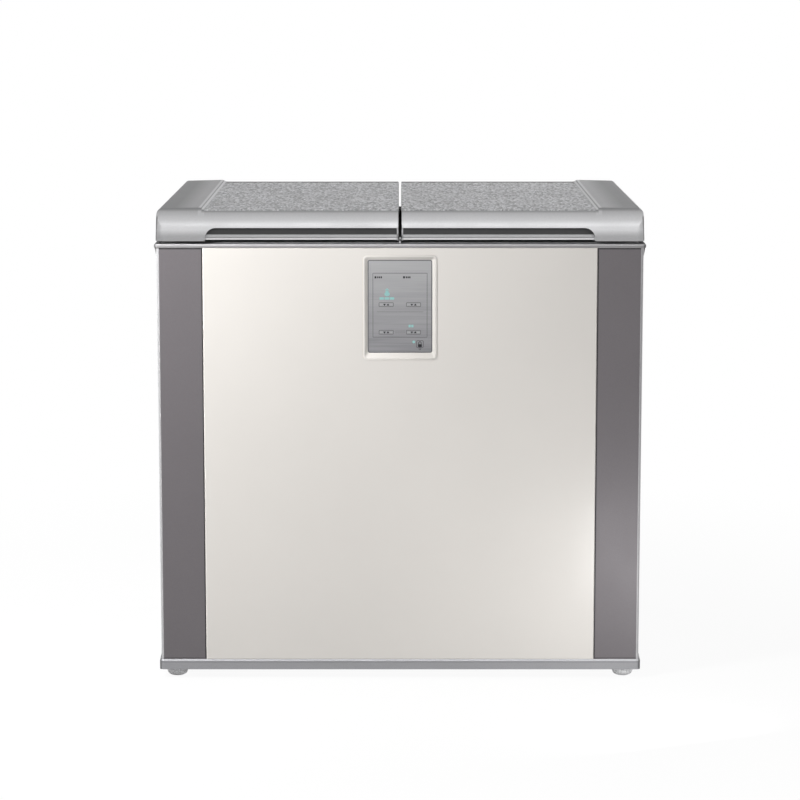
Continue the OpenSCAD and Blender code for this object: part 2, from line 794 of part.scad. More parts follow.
module hinge_arms() {
    color("silver") for (x = hinge_x) difference() {
        union() {
            rod_x(x + arm_x0, x + arm_x1, pin_y, pin_z, knuckle_r);
            // leaf that lies against the back of the lid
            box(x + arm_x0, x + arm_x1, lid_back, lid_back + leaf_t, lid_z + 1, lid_z + arm_leaf_h);
            along_x(x + arm_x0, x + arm_x1) polygon([
                [lid_back, lid_z + 1], [lid_back, lid_z + 8], [lid_back + leaf_t, lid_z + 8],
                [pin_y, pin_z + knuckle_r - 0.5], [pin_y, pin_z], [pin_y - knuckle_r + 1, pin_z + 1],
                [lid_back + leaf_t, lid_z + 1]]);
            for (dx = [arm_x0 + head_r + 0.4, arm_x1 - head_r - 0.4], dz = [0.4, 0.8] * arm_leaf_h)
                screw_head(x + dx, lid_back + leaf_t, lid_z + dz);
        }
        rod_x(x + arm_x0 - 1, x + arm_x1 + 1, pin_y, pin_z, pin_r + run);
    }
}

module base_knuckle(x0, x1) {
    difference() {
        union() {
            rod_x(x0, x1, pin_y, pin_z, knuckle_r);
            along_x(x0, x1) polygon([[cab_back, trim_z - base_high], [cab_back, pin_z - 3.5],
                [pin_y, pin_z], [pin_y + 2, pin_z - knuckle_r + 0.5], [cab_back + leaf_t, trim_z - 20]]);
        }
        rod_x(x0 - 1, x1 + 1, pin_y, pin_z, pin_r + run);
    }
}

module hinge_base_set() {
    for (x = hinge_x) {
        box(x - hinge_w / 2, x + hinge_w / 2, cab_back, cab_back + leaf_t, trim_z - base_low,
            trim_z - base_high);
        base_knuckle(x - hinge_w / 2, x - hinge_w / 2 + knuckle_l);
        base_knuckle(x + hinge_w / 2 - knuckle_l, x + hinge_w / 2);
        for (i = [-1:1], z = [trim_z - base_high - 10, trim_z - base_low + 12])
            screw_head(x + i * (hinge_w / 2 - 12), cab_back + leaf_t, z);
    }
}

module hinge_bases() {
    color("silver") both_sides() hinge_base_set();
}

// Pin along x with a riveted head at each end
module headed_pin(x0, x1, y, z, r, out) {
    head = 2;
    rod_x(x0, x1, y, z, r);
    rod_x(x0 - head, x0, y, z, r + out);
    rod_x(x1, x1 + head, y, z, r + out);
}

module hinge_pins() {
    color("gray") both_sides() for (x = hinge_x)
        headed_pin(x - hinge_w / 2, x + hinge_w / 2, pin_y, pin_z, pin_r, 1.6);
}

// Helical spring round the pin between a base knuckle and the arm
wire_r = 0.9;
spring_r = pin_r + 0.35 + wire_r;
spring_turns = 5;
spring_steps = 12;
spring_sides = 6;

module spring(x0, x1) {
    n = spring_turns * spring_steps;
    span = x1 - x0 - 2 * wire_r - 0.4;
    ring = function (i) let (
        a = 360 * i / spring_steps,
        mid = [x0 + wire_r + 0.2 + span * i / n, pin_y + spring_r * cos(a), pin_z + spring_r * sin(a)],
        out = [0, cos(a), sin(a)])
        [for (k = [0:spring_sides - 1]) let (b = 360 * k / spring_sides)
            mid + wire_r * (cos(b) * out + sin(b) * [1, 0, 0])];
    pts = [for (i = [0:n]) each ring(i)];
    side = [for (i = [0:n - 1], k = [0:spring_sides - 1]) let (
        j = (k + 1) % spring_sides, a = i * spring_sides, b = a + spring_sides)
        each [[a + k, a + j, b + j], [a + k, b + j, b + k]]];
    start = [for (k = [1:spring_sides - 2]) [0, k + 1, k]];
    end = [for (k = [1:spring_sides - 2]) [n * spring_sides, n * spring_sides + k,
                                           n * spring_sides + k + 1]];
    polyhedron(points = pts, faces = concat(side, start, end));
}

module hinge_springs() {
    color("dimgray") both_sides() for (x = hinge_x)
        spring(x - hinge_w / 2 + knuckle_l, x + arm_x0);
}

// Cover over the hinge base, notched where the arm swings
module hinge_cover(x) {
    wall = 2;
    w = hinge_w / 2 + wall + 3;
    clear = knuckle_r + 0.8;
    cap = clear + 1.4;
    low = trim_z - base_low - 10;
    difference() {
        union() {
            along_x(x - w, x + w) polygon(rounded([
                [cab_back, low, 0], [cab_back, pin_z, 0], [cab_back + rear_reach, pin_z, 0],
                [cab_back + rear_reach, low + 12, 8]]));
            intersection() {
                rod_x(x - w, x + w, pin_y, pin_z, cap);
                box(x - w, x + w, cab_back + fit, cab_back + rear_reach, trim_z, deck_z + 20);
            }
        }
        // hollow for the base, the knuckles and the spring
        box(x - w + wall, x + w - wall, cab_back - 1, cab_back + rear_reach - wall,
            trim_z - base_low - 2, pin_z);
        rod_x(x - w + wall, x + w - wall, pin_y, pin_z, clear);
        box(x - w - 1, x + w + 1, cab_back - 9, cab_back + fit, deck_z - 4, deck_z + 30);
        // notch for the arm
        box(x + arm_x0 - 1, x + arm_x1 + 1, cab_back - 1, cab_back + rear_reach + 1,
            pin_z - knuckle_r - 1, pin_z + 20);
    }
}

module hinge_covers() {
    color("gainsboro") both_sides() for (x = hinge_x) hinge_cover(x);
}

// ---- Machine room ----

comp_in = 212.5;   // from the left side panel to the compressor's axis
comp_x = comp_in - side_x;
comp_y = (room_y + cab_back) / 2 + 10;
mount_h = 11;      // rubber mount under the foot plate
plate_t = 4;       // foot plate
plate_y = 62;      // half its depth
comp_z = body_z + mount_h + plate_t - 1;
mount_x = comp_r + 4;
mount_y = plate_y - 12;

module compressor() {
    low_r = 22;        // lower and upper edge radius of the shell
    high_r = 40;
    seam_z = comp_h * 0.52;
    seam_out = 5;
    seam_h = 4;
    plate_x = mount_x + 12;
    terminal_out = 24;
    color("black") {
        translate([comp_x, comp_y, comp_z]) rotate_extrude() polygon(concat(
            [[0, 0]], arc([comp_r - low_r, low_r], low_r, -90, 0, 6),
            [[comp_r, seam_z], [comp_r + seam_out, seam_z], [comp_r + seam_out, seam_z + seam_h],
             [comp_r, seam_z + seam_h]],
            arc([comp_r - high_r, comp_h - high_r], high_r, 0, 90, 8), [[0, comp_h]]));
        // foot plate
        difference() {
            box(comp_x - plate_x, comp_x + plate_x, comp_y - plate_y, comp_y + plate_y,
                comp_z + 1 - plate_t, comp_z + 1);
            for (x = [-1, 1], y = [-1, 1])
                rod_z(comp_x + x * mount_x, comp_y + y * mount_y, 0, comp_z + plate_t, 6);
        }
        // terminal box
        box(comp_x + comp_r - 8, comp_x + comp_r + terminal_out, comp_y - 24, comp_y + 24,
            comp_z + 40, comp_z + 100);
    }
}

module compressor_mounts() {
    top = mount_h + plate_t;
    color("dimgray") for (x = [-1, 1], y = [-1, 1])
        translate([comp_x + x * mount_x, comp_y + y * mount_y, body_z]) rotate_extrude()
            polygon([[0, 0], [12, 0], [12, 4], [9, 6], [9, 8], [12, 10], [12, mount_h],
                     [6 - fit, mount_h], [6 - fit, top], [9, top], [9, top + 4], [0, top + 4]]);
}

fan_x = 60;
fan_y = cab_back - 70;
fan_z = body_z + 130;

hub_r = 16;
hub_half = 12;     // half the hub's length
shaft_r = 4;
blade_t = 1.6;

// Cambered blade: a pitched slice of a curved sheet, cut to a round-ended outline
module fan_blade() {
    camber_r = 45;
    pitch = 27;
    mid = (fan_r + hub_r) / 2;
    half_w = min(0.9 * mid * sin(180 / fan_blades), mid - hub_r / 2);
    intersection() {
        translate([camber_r * cos(pitch), -camber_r * sin(pitch), 0]) difference() {
            cylinder(h = fan_r, r = camber_r + blade_t / 2);
            translate([0, 0, -1]) cylinder(h = fan_r + 2, r = camber_r - blade_t / 2);
        }
        along_x(-hub_half, hub_half) intersection() {
            circle(fan_r);
            union() {
                translate([0, mid]) circle(half_w);
                translate([-half_w / 2, hub_r - 4]) square([half_w, mid - hub_r + 4]);
            }
        }
    }
}

module condenser_fan() {
    color("white") translate([fan_x, fan_y, fan_z]) difference() {
        union() {
            rod_x(-hub_half, hub_half, 0, 0, hub_r);
            for (i = [0:fan_blades - 1]) rotate([360 / fan_blades * i, 0, 0]) fan_blade();
        }
        rod_x(-hub_half - 1, hub_half - 5, 0, 0, shaft_r + run);
    }
}

motor_r = 24;
shroud_x = fan_x - 25;
shroud_back = 64;  // the shroud's reach behind the fan's axis
shroud_front = fan_r + 10;
shroud_l = 40;
shroud_top = fan_z + fan_r + 24;

module fan_motor() {
    arm_w = 10;
    motor_l = 40;
    motor_x = shroud_x + 3;
    nose_l = 4;
    color("dimgray") {
        rod_x(motor_x - motor_l, motor_x, fan_y, fan_z, motor_r);
        rod_x(motor_x, motor_x + nose_l, fan_y, fan_z, 10);
        rod_x(motor_x + nose_l, fan_x + hub_half - 6, fan_y, fan_z, shaft_r);
        // bracket arms that rest on the shroud's plate
        for (a = [45, 135, 225, 315]) translate([shroud_x, fan_y, fan_z]) rotate([a, 0, 0])
            box(-4, 0, -arm_w / 2, arm_w / 2, motor_r - 2, fan_r + 14);
    }
}

module fan_shroud() {
    wall = 3;
    color("gainsboro") difference() {
        union() {
            box(shroud_x, shroud_x + wall, fan_y - shroud_front, fan_y + shroud_back, body_z,
                shroud_top);
            rod_x(shroud_x, shroud_x + shroud_l, fan_y, fan_z, fan_r + 2 * wall);
            box(shroud_x, shroud_x + shroud_l, fan_y - shroud_front, fan_y + shroud_back, body_z,
                body_z + wall);
        }
        rod_x(shroud_x - 1, shroud_x + shroud_l + 1, fan_y, fan_z, fan_r + wall);
    }
}

tube_r = 3;        // condenser and refrigerant tubes
cond_x0 = fan_x + 76;
cond_x1 = side_x - 96;
cond_pitch = 26;
cond_z = body_z + 40;
function pass_z(i) = cond_z + i * cond_pitch;

module condenser() {
    fin_pitch = 18;
    fin_t = 1;
    fin_half = 22;
    color("black") {
        for (i = [0:passes - 1]) rod_x(cond_x0, cond_x1, fan_y, pass_z(i), tube_r);
        // return bends, at the right and the left in turn, with the top row's left end free
        for (i = [0:passes - 2]) let (right = (passes - i) % 2 == 0)
            translate([right ? cond_x1 : cond_x0, fan_y, (pass_z(i) + pass_z(i + 1)) / 2])
            rotate([90, right ? 0 : 180, 0])
            rotate([0, 0, -90]) rotate_extrude(angle = 180) translate([cond_pitch / 2, 0])
                circle(tube_r, $fn = 24);
        // fin plates that stand on the pan
        for (x = [cond_x0 + 4 : fin_pitch : cond_x1 - 6])
            box(x, x + fin_t, fan_y - fin_half, fan_y + fin_half, body_z, pass_z(passes - 1) + 10);
    }
}

module drier_and_pipes() {
    bend = 12;
    drier_r = 11;
    x = comp_x + comp_r + 60;
    y = comp_y + 40;
    top = room_top - 20;
    wall_y = room_y;
    comp_top = comp_z + comp_h;
    last_z = pass_z(passes - 1);
    over_z = max(shroud_top, comp_top + bend, last_z + 2 * bend) + 4;
    color("chocolate") {
        // drier on its clip, and the line that leaves it for the wells
        rod_z(x, y, body_z, body_z + 20, 5);
        rod_z(x, y, body_z + 20, body_z + 130, drier_r);
        pipe([[x, y, body_z + 129], [x, y, top - 30], [x, wall_y, top - 30]], bend, tube_r);
        // suction line from the wells to the compressor
        pipe([[comp_x - 20, comp_y, comp_top], [comp_x - 20, comp_y, top],
              [comp_x - 20, wall_y, top]], bend, tube_r + 1);
        // discharge line, over the fan shroud to the condenser
        pipe([[comp_x + 20, comp_y, comp_top], [comp_x + 20, comp_y, over_z],
              [comp_x + 20, fan_y, over_z], [cond_x0 - 2 * bend, fan_y, over_z],
              [cond_x0 - 2 * bend, fan_y, last_z], [cond_x0, fan_y, last_z]], bend, tube_r);
    }
}

module control_box() {
    x0 = cond_x0 + 30;
    w = 150;
    depth = 46;
    low = body_z + 70;
    high = body_z + 190;
    vent_pitch = 22;
    vent_w = 12;
    vent_gap = 20;     // from the vents to the box's top and bottom
    color("ivory") difference() {
        box(x0, x0 + w, room_y, room_y + depth, low, high);
        for (x = [x0 + vent_w : vent_pitch : x0 + w - 2 * vent_w])
            box(x, x + vent_w, room_y + depth - 2, room_y + depth + 1, low + vent_gap, high - vent_gap);
    }
}

field_edge = 52;   // from the side panels to the raised field of the rear cover
field_gap = 20;    // from its top and bottom edge
field_t = 1.5;     // its sheet, and how far it stands proud inside
cord_z = body_z + 34;
cord_r = 4;        // cord that the grommet takes
cord_hole = 9;
louvre_pitch = 12;
louvre_h = 5;
louvre_w = 76;
louvre_cols = 3;   // columns of louvres on each side of the cord

module rear_cover() {
    y1 = cab_back;
    x1 = side_x - field_edge;
    low = body_z + field_gap;
    high = room_top - field_gap;
    first = body_z + 45;
    rows = floor((room_top - first - 45) / louvre_pitch);
    col_pitch = louvre_w + 19;
    col_x = 110;
    color("silver") difference() {
        union() {
            box(-side_x + sheet, side_x - sheet, y1 - sheet, y1, body_z, room_top);
            // raised field that carries the louvres
            along_y(y1, y1 + 2 * field_t) round_rect(-x1, x1, low, high, 12);
        }
        along_y(y1 - 9, y1 + field_t) round_rect(-x1 + 2, x1 - 2, low + 2, high - 2, 10);
        both_sides() for (k = [0:louvre_cols - 1], i = [0:rows - 1])
            let (x = col_x + k * col_pitch, z = first + i * louvre_pitch)
                box(x - louvre_w / 2, x + louvre_w / 2, y1 - 5, y1 + 9, z, z + louvre_h);
        rod_y(0, y1 - 5, y1 + 9, cord_z, cord_hole);
    }
}

module cord_grommet() {
    neck_r = cord_hole - 0.1;
    flange_r = cord_hole + 3;
    seat = field_t + 0.2;
    color("black") translate([0, cab_back + field_t - 0.1, cord_z]) rotate([-90, 0, 0]) rotate_extrude()
        polygon([[cord_r, 0], [neck_r, 0], [neck_r, seat], [flange_r, seat], [flange_r, seat + 2.5],
                 [2 * cord_r, 2 * cord_r], [cord_r, 2 * cord_r]]);
}

module rear_screws() {
    edge = 10;
    inner_x = 130;
    pair = [room_top - 9, room_top + 14];   // one in the cover, one in the panel above
    color("gray") both_sides() {
        for (z = concat(body_z + 14, pair, trim_z - base_low - 24)) screw_head(side_x - edge, cab_back, z);
        for (z = concat(body_z + 10, pair)) screw_head(inner_x, cab_back, z);
    }
}

// ---- Feet and wheels ----

module foot() {
    toe_r = 9;         // rounded lower edge
    scallop_r = 2.4;
    stud_top = body_z + 20;
    color("lightgray") translate([foot_x, foot_y, 0]) difference() {
        union() {
            rotate_extrude() polygon(concat([[0, 0], [foot_r - 7, 0]],
                arc([foot_r - toe_r, toe_r], toe_r, -60, 0, 6),
                [[foot_r, foot_h - 1], [foot_r - 1, foot_h], [0, foot_h]]));
            cylinder(h = stud_top, r = stud_r);
        }
        // finger scallops round the rim
        for (a = [15:30:345]) rotate([0, 0, a]) translate([foot_r + scallop_r / 2, 0, -1])
            cylinder(h = foot_h + 2, r = scallop_r);
    }
}

caster_t = 2;      // sheet of the bracket
caster_in = wheel_w / 2 + 1;

module caster_bracket() {
    ear_r = 12;
    ears = [wheel_x - caster_in - caster_t, wheel_x + caster_in];
    top_x = caster_in + 12;
    top_y = 20;
    difference() {
        union() {
            box(wheel_x - top_x, wheel_x + top_x, wheel_y - top_y, wheel_y + top_y,
                pan_z - caster_t, pan_z);
            for (x = ears) along_x(x, x + caster_t) {
                translate([wheel_y - ear_r, wheel_r]) square([2 * ear_r, pan_z - wheel_r - 1]);
                translate([wheel_y, wheel_r]) circle(ear_r);
            }
        }
        rod_x(wheel_x - top_x, wheel_x + top_x, wheel_y, wheel_r, axle_r);
    }
}

module caster_brackets() {
    color("silver") both_sides() caster_bracket();
}

module caster_axles() {
    w = caster_in + caster_t;
    color("gray") both_sides() headed_pin(wheel_x - w, wheel_x + w, wheel_y, wheel_r, axle_r, 2);
}

// Wheel with a hub, a web set in on both sides and a chamfered tread
module wheel() {
    w = wheel_w / 2;
    web = w - 2;
    hub = axle_r + 4;
    tread = wheel_r - 4;
    chamfer = 1.5;
    color("dimgray") translate([wheel_x, wheel_y, wheel_r]) rotate([0, 90, 0]) rotate_extrude()
        polygon([[axle_r + run, -w], [hub, -w], [hub, -web], [tread - 1, -web], [tread, -w],
                 [wheel_r - chamfer, -w], [wheel_r, chamfer - w], [wheel_r, w - chamfer],
                 [wheel_r - chamfer, w], [tread, w], [tread - 1, web], [hub, web], [hub, w],
                 [axle_r + run, w]]);
}

// ---- Food tubs, drawn for the right-hand well ----

wing_t = 3;        // locking wings of a tub's lid
wing_drop = 12;
tub_places = [[tub_front_y, front_floor, step_rise], [tub_front_y, rear_floor, tub_h],
              [tub_rear_y, rear_floor, tub_h]];

module tub_plan(y, o, r) {
    round_rect(well_x - tub_w / 2 + o, well_x + tub_w / 2 - o, y - tub_d / 2 + o, y + tub_d / 2 - o, r);
}

module tub(y, z, h) {
    rim_z = z + h - tub_lid_t;
    catch_z = rim_z - wing_drop - 6;
    difference() {
        union() {
            along_z(z, rim_z) tub_plan(y, tub_rim, tub_r - tub_rim);
            // collar under the locking wings
            along_z(catch_z, catch_z + 4) tub_plan(y, 1, tub_r - 1);
        }
        along_z(z + tub_wall, rim_z + 1) tub_plan(y, tub_rim + tub_wall, tub_r - tub_rim - tub_wall);
    }
}

module tub_lid(y, z, h) {
    rim_z = z + h - tub_lid_t;
    top = z + h;
    bead_h = 3;        // bead that keeps the tub above from sliding
    bead_w = 6;
    vent_r = 16;
    wing_x = tub_w / 2 - wing_t / 2;
    wing_y = tub_d / 2 - wing_t / 2;
    difference() {
        union() {
            along_z(rim_z, top - bead_h) tub_plan(y, 0, tub_r);
            along_z(top - bead_h, top) difference() {
                tub_plan(y, 8, tub_r - 8);
                tub_plan(y, 8 + bead_w, tub_r - 8 - bead_w);
            }
            // locking wings, held to the rim by a living hinge
            for (s = [-1, 1]) {
                translate([well_x + s * wing_x, y, 0])
                    box(-wing_t / 2, wing_t / 2, -45, 45, rim_z - wing_drop, rim_z + 1);
                translate([well_x, y + s * wing_y, 0])
                    box(-60, 60, -wing_t / 2, wing_t / 2, rim_z - wing_drop, rim_z + 1);
            }
            rod_z(well_x, y, top - bead_h - 1, top - 1, vent_r);
        }
        // thumb dish on the vent
        rod_z(well_x, y, top - 2.4, top, vent_r - 5);
    }
}

module tubs() {
    color("whitesmoke") for (p = tub_places) tub(p[0], p[1], p[2]);
}

module tub_lids() {
    color("lightgray") for (p = tub_places) tub_lid(p[0], p[1], p[2]);
}

module on_left() {
    mirror([1, 0, 0]) children();
}

base_trim();
floor_pan();
on_left() side_panel();  // left_side_panel
side_panel();  // right_side_panel
rear_panel();
front_panel();
on_left() pillar();  // left_pillar
pillar();  // right_pillar
top_trim();
mouth_frame();
insulation_foam();
on_left() well();  // left_well
well();  // right_well
on_left() well_pan();  // left_well_pan
well_pan();  // right_well_pan
on_left() evaporator();  // left_evaporator
evaporator();  // right_evaporator
both_sides() sensor_cover();  // sensor_covers
display_frame();
display_window();
display_board();
on_left() lid_cover();  // left_lid_cover
lid_cover();  // right_lid_cover
on_left() lid_skin();  // left_lid_skin
lid_skin();  // right_lid_skin
on_left() lid_grip();  // left_lid_grip
lid_grip();  // right_lid_grip
on_left() lid_liner();  // left_lid_liner
lid_liner();  // right_lid_liner
on_left() lid_foam();  // left_lid_foam
lid_foam();  // right_lid_foam
on_left() gasket();  // left_gasket
gasket();  // right_gasket
on_left() hinge_arms();  // left_hinge_arms
hinge_arms();  // right_hinge_arms
hinge_bases();
hinge_pins();
hinge_springs();
hinge_covers();
compressor();
compressor_mounts();
condenser();
condenser_fan();
fan_motor();
fan_shroud();
drier_and_pipes();
control_box();
rear_cover();
cord_grommet();
on_left() foot();  // left_foot
foot();  // right_foot
caster_brackets();
caster_axles();
on_left() wheel();  // left_wheel
wheel();  // right_wheel
on_left() tubs();  // left_tubs
tubs();  // right_tubs
on_left() tub_lids();  // left_tub_lids
tub_lids();  // right_tub_lids
rear_screws();
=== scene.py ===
# %% [markdown]
# # A chest refrigerator with two lids
#
# The object is a low kitchen appliance: a steel box with two insulated lids, an ivory front panel
# between two gunmetal pillars, and a touch display sunk into the panel. Its construction, sizes and
# joints are settled in a CAD model, which this notebook loads and never moves. What is done here is
# the looks: the finish of every surface, the printing on the display and the parts that are too
# fine for the CAD model.

import json
import math

import bmesh
import bpy
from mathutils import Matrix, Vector


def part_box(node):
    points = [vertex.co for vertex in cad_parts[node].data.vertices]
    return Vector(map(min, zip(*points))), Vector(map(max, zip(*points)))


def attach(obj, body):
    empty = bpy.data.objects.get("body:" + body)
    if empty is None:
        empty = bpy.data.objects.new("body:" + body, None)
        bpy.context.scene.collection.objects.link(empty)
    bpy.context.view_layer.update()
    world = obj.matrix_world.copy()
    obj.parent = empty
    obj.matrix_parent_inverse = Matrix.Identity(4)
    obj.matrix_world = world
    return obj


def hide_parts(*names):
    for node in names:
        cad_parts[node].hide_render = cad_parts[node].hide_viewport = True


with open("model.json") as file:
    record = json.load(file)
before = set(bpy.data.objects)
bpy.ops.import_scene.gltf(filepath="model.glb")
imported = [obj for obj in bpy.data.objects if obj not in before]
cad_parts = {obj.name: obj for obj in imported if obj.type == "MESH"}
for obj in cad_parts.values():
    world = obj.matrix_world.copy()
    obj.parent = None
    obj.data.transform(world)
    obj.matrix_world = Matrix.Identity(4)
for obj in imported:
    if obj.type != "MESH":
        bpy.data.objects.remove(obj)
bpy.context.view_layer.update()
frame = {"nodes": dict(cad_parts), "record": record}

# %% [markdown]
# ## Start with nothing selected
#
# An operator acts on everything that is selected, and a freshly loaded model is selected all over.
# So the first habit to learn is to clear the selection before anything else is made. Sizes of
# pieces are written in millimetres, as a workshop drawing gives them, and MM turns them into
# Blender's metres. Places in the room and the grain of a pattern are written in metres.

# %% Clear the selection
MM = 0.001
SMOOTH_ANGLE = math.radians(35)   # edges flatter than this are shaded smooth


def select_only(*objects):
    """Leaves just these objects selected, the first of them active."""
    bpy.ops.object.select_all(action="DESELECT")
    for piece in objects:
        piece.select_set(True)
    bpy.context.view_layer.objects.active = objects[0] if objects else None


select_only()
print("selected:", len(bpy.context.selected_objects))

# %% [markdown]
# ## The camera
#
# The photograph was taken from well in front of the appliance and a little above it, so that the
# lid tops show as a narrow band. A long lens keeps the two sides almost parallel. The camera could
# be level with a strong vertical shift, which would keep the uprights perfectly parallel, but a
# shift stays when the camera moves round the object. So the camera is tilted down instead.

# %% Camera
CAMERA_DISTANCE = 5.280   # in front of the front panel
CAMERA_HEIGHT = 1.3631
CAMERA_AIM = 0.5464       # height on the front panel that lies at the middle of the picture
CAMERA_LENS = 125.8
CAMERA_SENSOR = 36

front_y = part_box("front_panel")[0].y
camera_place = Vector((0, front_y - CAMERA_DISTANCE, CAMERA_HEIGHT))
bpy.ops.object.camera_add(location=camera_place)
camera = bpy.context.object
aim = Vector((0, front_y, CAMERA_AIM)) - camera_place
camera.rotation_euler = aim.to_track_quat("-Z", "Y").to_euler()
camera.data.lens = CAMERA_LENS
camera.data.sensor_width = CAMERA_SENSOR
bpy.context.scene.camera = camera
bpy.context.scene.view_settings.view_transform = "Standard"
print(f"camera tilted down by {math.degrees(math.atan2(-aim.z, aim.y)):.1f} degrees")

# %% [markdown]
# ## Shader maths as Python
#
# A material is a graph of nodes, and a graph is tedious to write. Three small tools make it read
# like ordinary Python. `Wire` wraps the output socket of a node and has arithmetic, so `1 - mask`
# adds a Math node. `Graph` holds a node tree and adds any other kind of node with one method.
# `Finish` is a graph that belongs to a material and knows the patterns that this object needs.

# %% Wire: a socket that can be used in an expression
class Wire:
    """An output socket of a shader node."""

    def __init__(self, graph, socket):
        self.graph = graph
        self.socket = socket

    def larger(self, other):
        return self.graph.math("MAXIMUM", self, other)

    def __abs__(self):
        return self.graph.math("ABSOLUTE", self)

    def __add__(self, other):
        return self.graph.math("ADD", self, other)

    def __sub__(self, other):
        return self.graph.math("SUBTRACT", self, other)

    def __mul__(self, other):
        return self.graph.math("MULTIPLY", self, other)

    def __rsub__(self, other):
        return self.graph.math("SUBTRACT", other, self)

    def __gt__(self, other):
        return self.graph.math("GREATER_THAN", self, other)

    __radd__ = __add__
    __rmul__ = __mul__


# %% Graph: one method that adds any node
class Graph:
    """A node tree under construction."""

    def __init__(self, tree):
        self.tree = tree

    def node(self, kind, settings=None, inputs=None, output=0):
        """Adds a shader node, its settings first, and gives back one of its outputs."""
        made = self.tree.nodes.new("ShaderNode" + kind)
        for name, value in (settings or {}).items():
            setattr(made, name, value)
        for socket, value in (inputs or {}).items():
            if isinstance(value, Wire):
                self.tree.links.new(value.socket, made.inputs[socket])
            else:
                made.inputs[socket].default_value = value
        return Wire(self, made.outputs[output])

    def math(self, operation, *values):
        return self.node("Math", {"operation": operation}, dict(enumerate(values)))

    def join(self, wire, kind, socket):
        """Links a wire to a socket of a node that the tree already has."""
        place = next(n for n in self.tree.nodes if n.bl_idname == "ShaderNode" + kind)
        self.tree.links.new(wire.socket, place.inputs[socket])

    def backdrop_rays(self):
        """1 where the camera, a reflection or a view through glass looks, and else 0."""
        eye, gloss, glass = (self.node("LightPath", output=f"Is {kind} Ray")
                             for kind in ("Camera", "Glossy", "Transmission"))
        return eye.larger(gloss).larger(glass)

    def spread(self, wire, low, high, to_low=0.0, to_high=1.0):
        """A value carried from one range to another, and held at its ends."""
        return self.node("MapRange", inputs={"Value": wire, "From Min": low, "From Max": high,
                                             "To Min": to_low, "To Max": to_high})


# %% Finish: the patterns of a material
def shade(colour, factor):
    """A colour made darker or paler by a factor, and never past white."""
    return tuple(min(1.0, c * factor) for c in colour)


class Finish(Graph):
    """A material. What is the same all over it is set straight on the shader's sockets."""

    def __init__(self, name, **constants):
        self.material = bpy.data.materials.new(name)
        self.material.use_nodes = True
        super().__init__(self.material.node_tree)
        shader = self.tree.nodes["Principled BSDF"]
        for socket, value in constants.items():
            value = (*value, 1) if isinstance(value, tuple) else value
            shader.inputs[socket.replace("_", " ")].default_value = value
        self.place = self.node("TexCoord", output="Object")

    def stretched(self, x=1, y=1, z=1):
        """Object coordinates in which a pattern is this many times longer along each axis."""
        return self.node("Mapping", inputs={"Vector": self.place, "Scale": (1 / x, 1 / y, 1 / z)})

    def along(self, axis):
        """How far a point lies along an axis, in metres."""
        return self.node("SeparateXYZ", inputs={"Vector": self.place}, output=axis)

    def band(self, wire, start, full, end, gone):
        """1 between two places along a line and 0 beyond them, with soft ends."""
        return self.spread(wire, start, full) * (1 - self.spread(wire, end, gone))

    def noise(self, size, detail=2.0, where=None, roughness=0.5):
        """Cloudy noise of about 0.3 to 0.7, with blobs of this size in metres."""
        return self.node("TexNoise", inputs={"Vector": where or self.place, "Scale": 1 / size,
                                             "Detail": detail, "Roughness": roughness})

    def grains(self, size, where=None):
        """A random value of 0 to 1 for each grain of this size."""
        colour = self.node("TexVoronoi", inputs={"Vector": where or self.place, "Scale": 1 / size},
                           output="Color")
        return self.node("SeparateColor", inputs={"Color": colour})

    def dimples(self, size, where=None):
        """The distance to the middle of the nearest of many scattered points."""
        return self.node("TexVoronoi", {"feature": "SMOOTH_F1"},
                         {"Vector": where or self.place, "Scale": 1 / size, "Smoothness": 0.6})

    def blend(self, share, first, second):
        """A colour that goes from first to second as share goes from 0 to 1."""
        colours = {socket: (*colour, 1) if isinstance(colour, tuple) else colour
                   for socket, colour in ((6, first), (7, second))}
        return self.node("Mix", {"data_type": "RGBA"}, {0: share, **colours}, output=2)

    def paint(self, socket, wire):
        self.join(wire, "BsdfPrincipled", socket)

    def tones(self, colour, share, swing):
        """Base colour that is darker and lighter by a swing, as share goes from 0 to 1."""
        darker, lighter = shade(colour, 1 - swing), shade(colour, 1 + swing)
        self.paint("Base Color", self.blend(share, darker, lighter))

    def sheen_patches(self, middle, swing, size):
        """Roughness that wanders round a middle value, as handling leaves it."""
        self.paint("Roughness", self.spread(self.noise(size, 3), 0.35, 0.65,
                                            middle - swing, middle + swing))

    def relief(self, height, depth):
        """Bumps the surface by a height of 0 to 1 times a depth in metres."""
        self.paint("Normal", self.node("Bump", inputs={"Height": height, "Distance": depth}))


finishes = {}
print("the shader tools are ready")

# %% [markdown]
# ## The studio
#
# The floor and the world have two jobs that pull apart. The camera has to see clean white all
# round, but a white room would light the appliance from everywhere and wash its form out. Light
# Path tells the two apart: rays from the camera, reflections and views through glass find white,
# and the rays that carry light find something dimmer. Close to the appliance the floor also shows
# a share of its true shading, which keeps the contact shadow.

# %% Floor and world
FLOOR_SIZE = 60
FLOOR_BOUNCE = (0.42, 0.42, 0.42)   # what the floor throws back on the object
FLOOR_SHADOW = 0.07                 # share of true shading beside the object
SHADOW_NEAR, SHADOW_FAR = 0.8, 1.8  # metres from the middle over which that share fades out
SKY_LIGHT = 0.16                    # strength of the world as a light


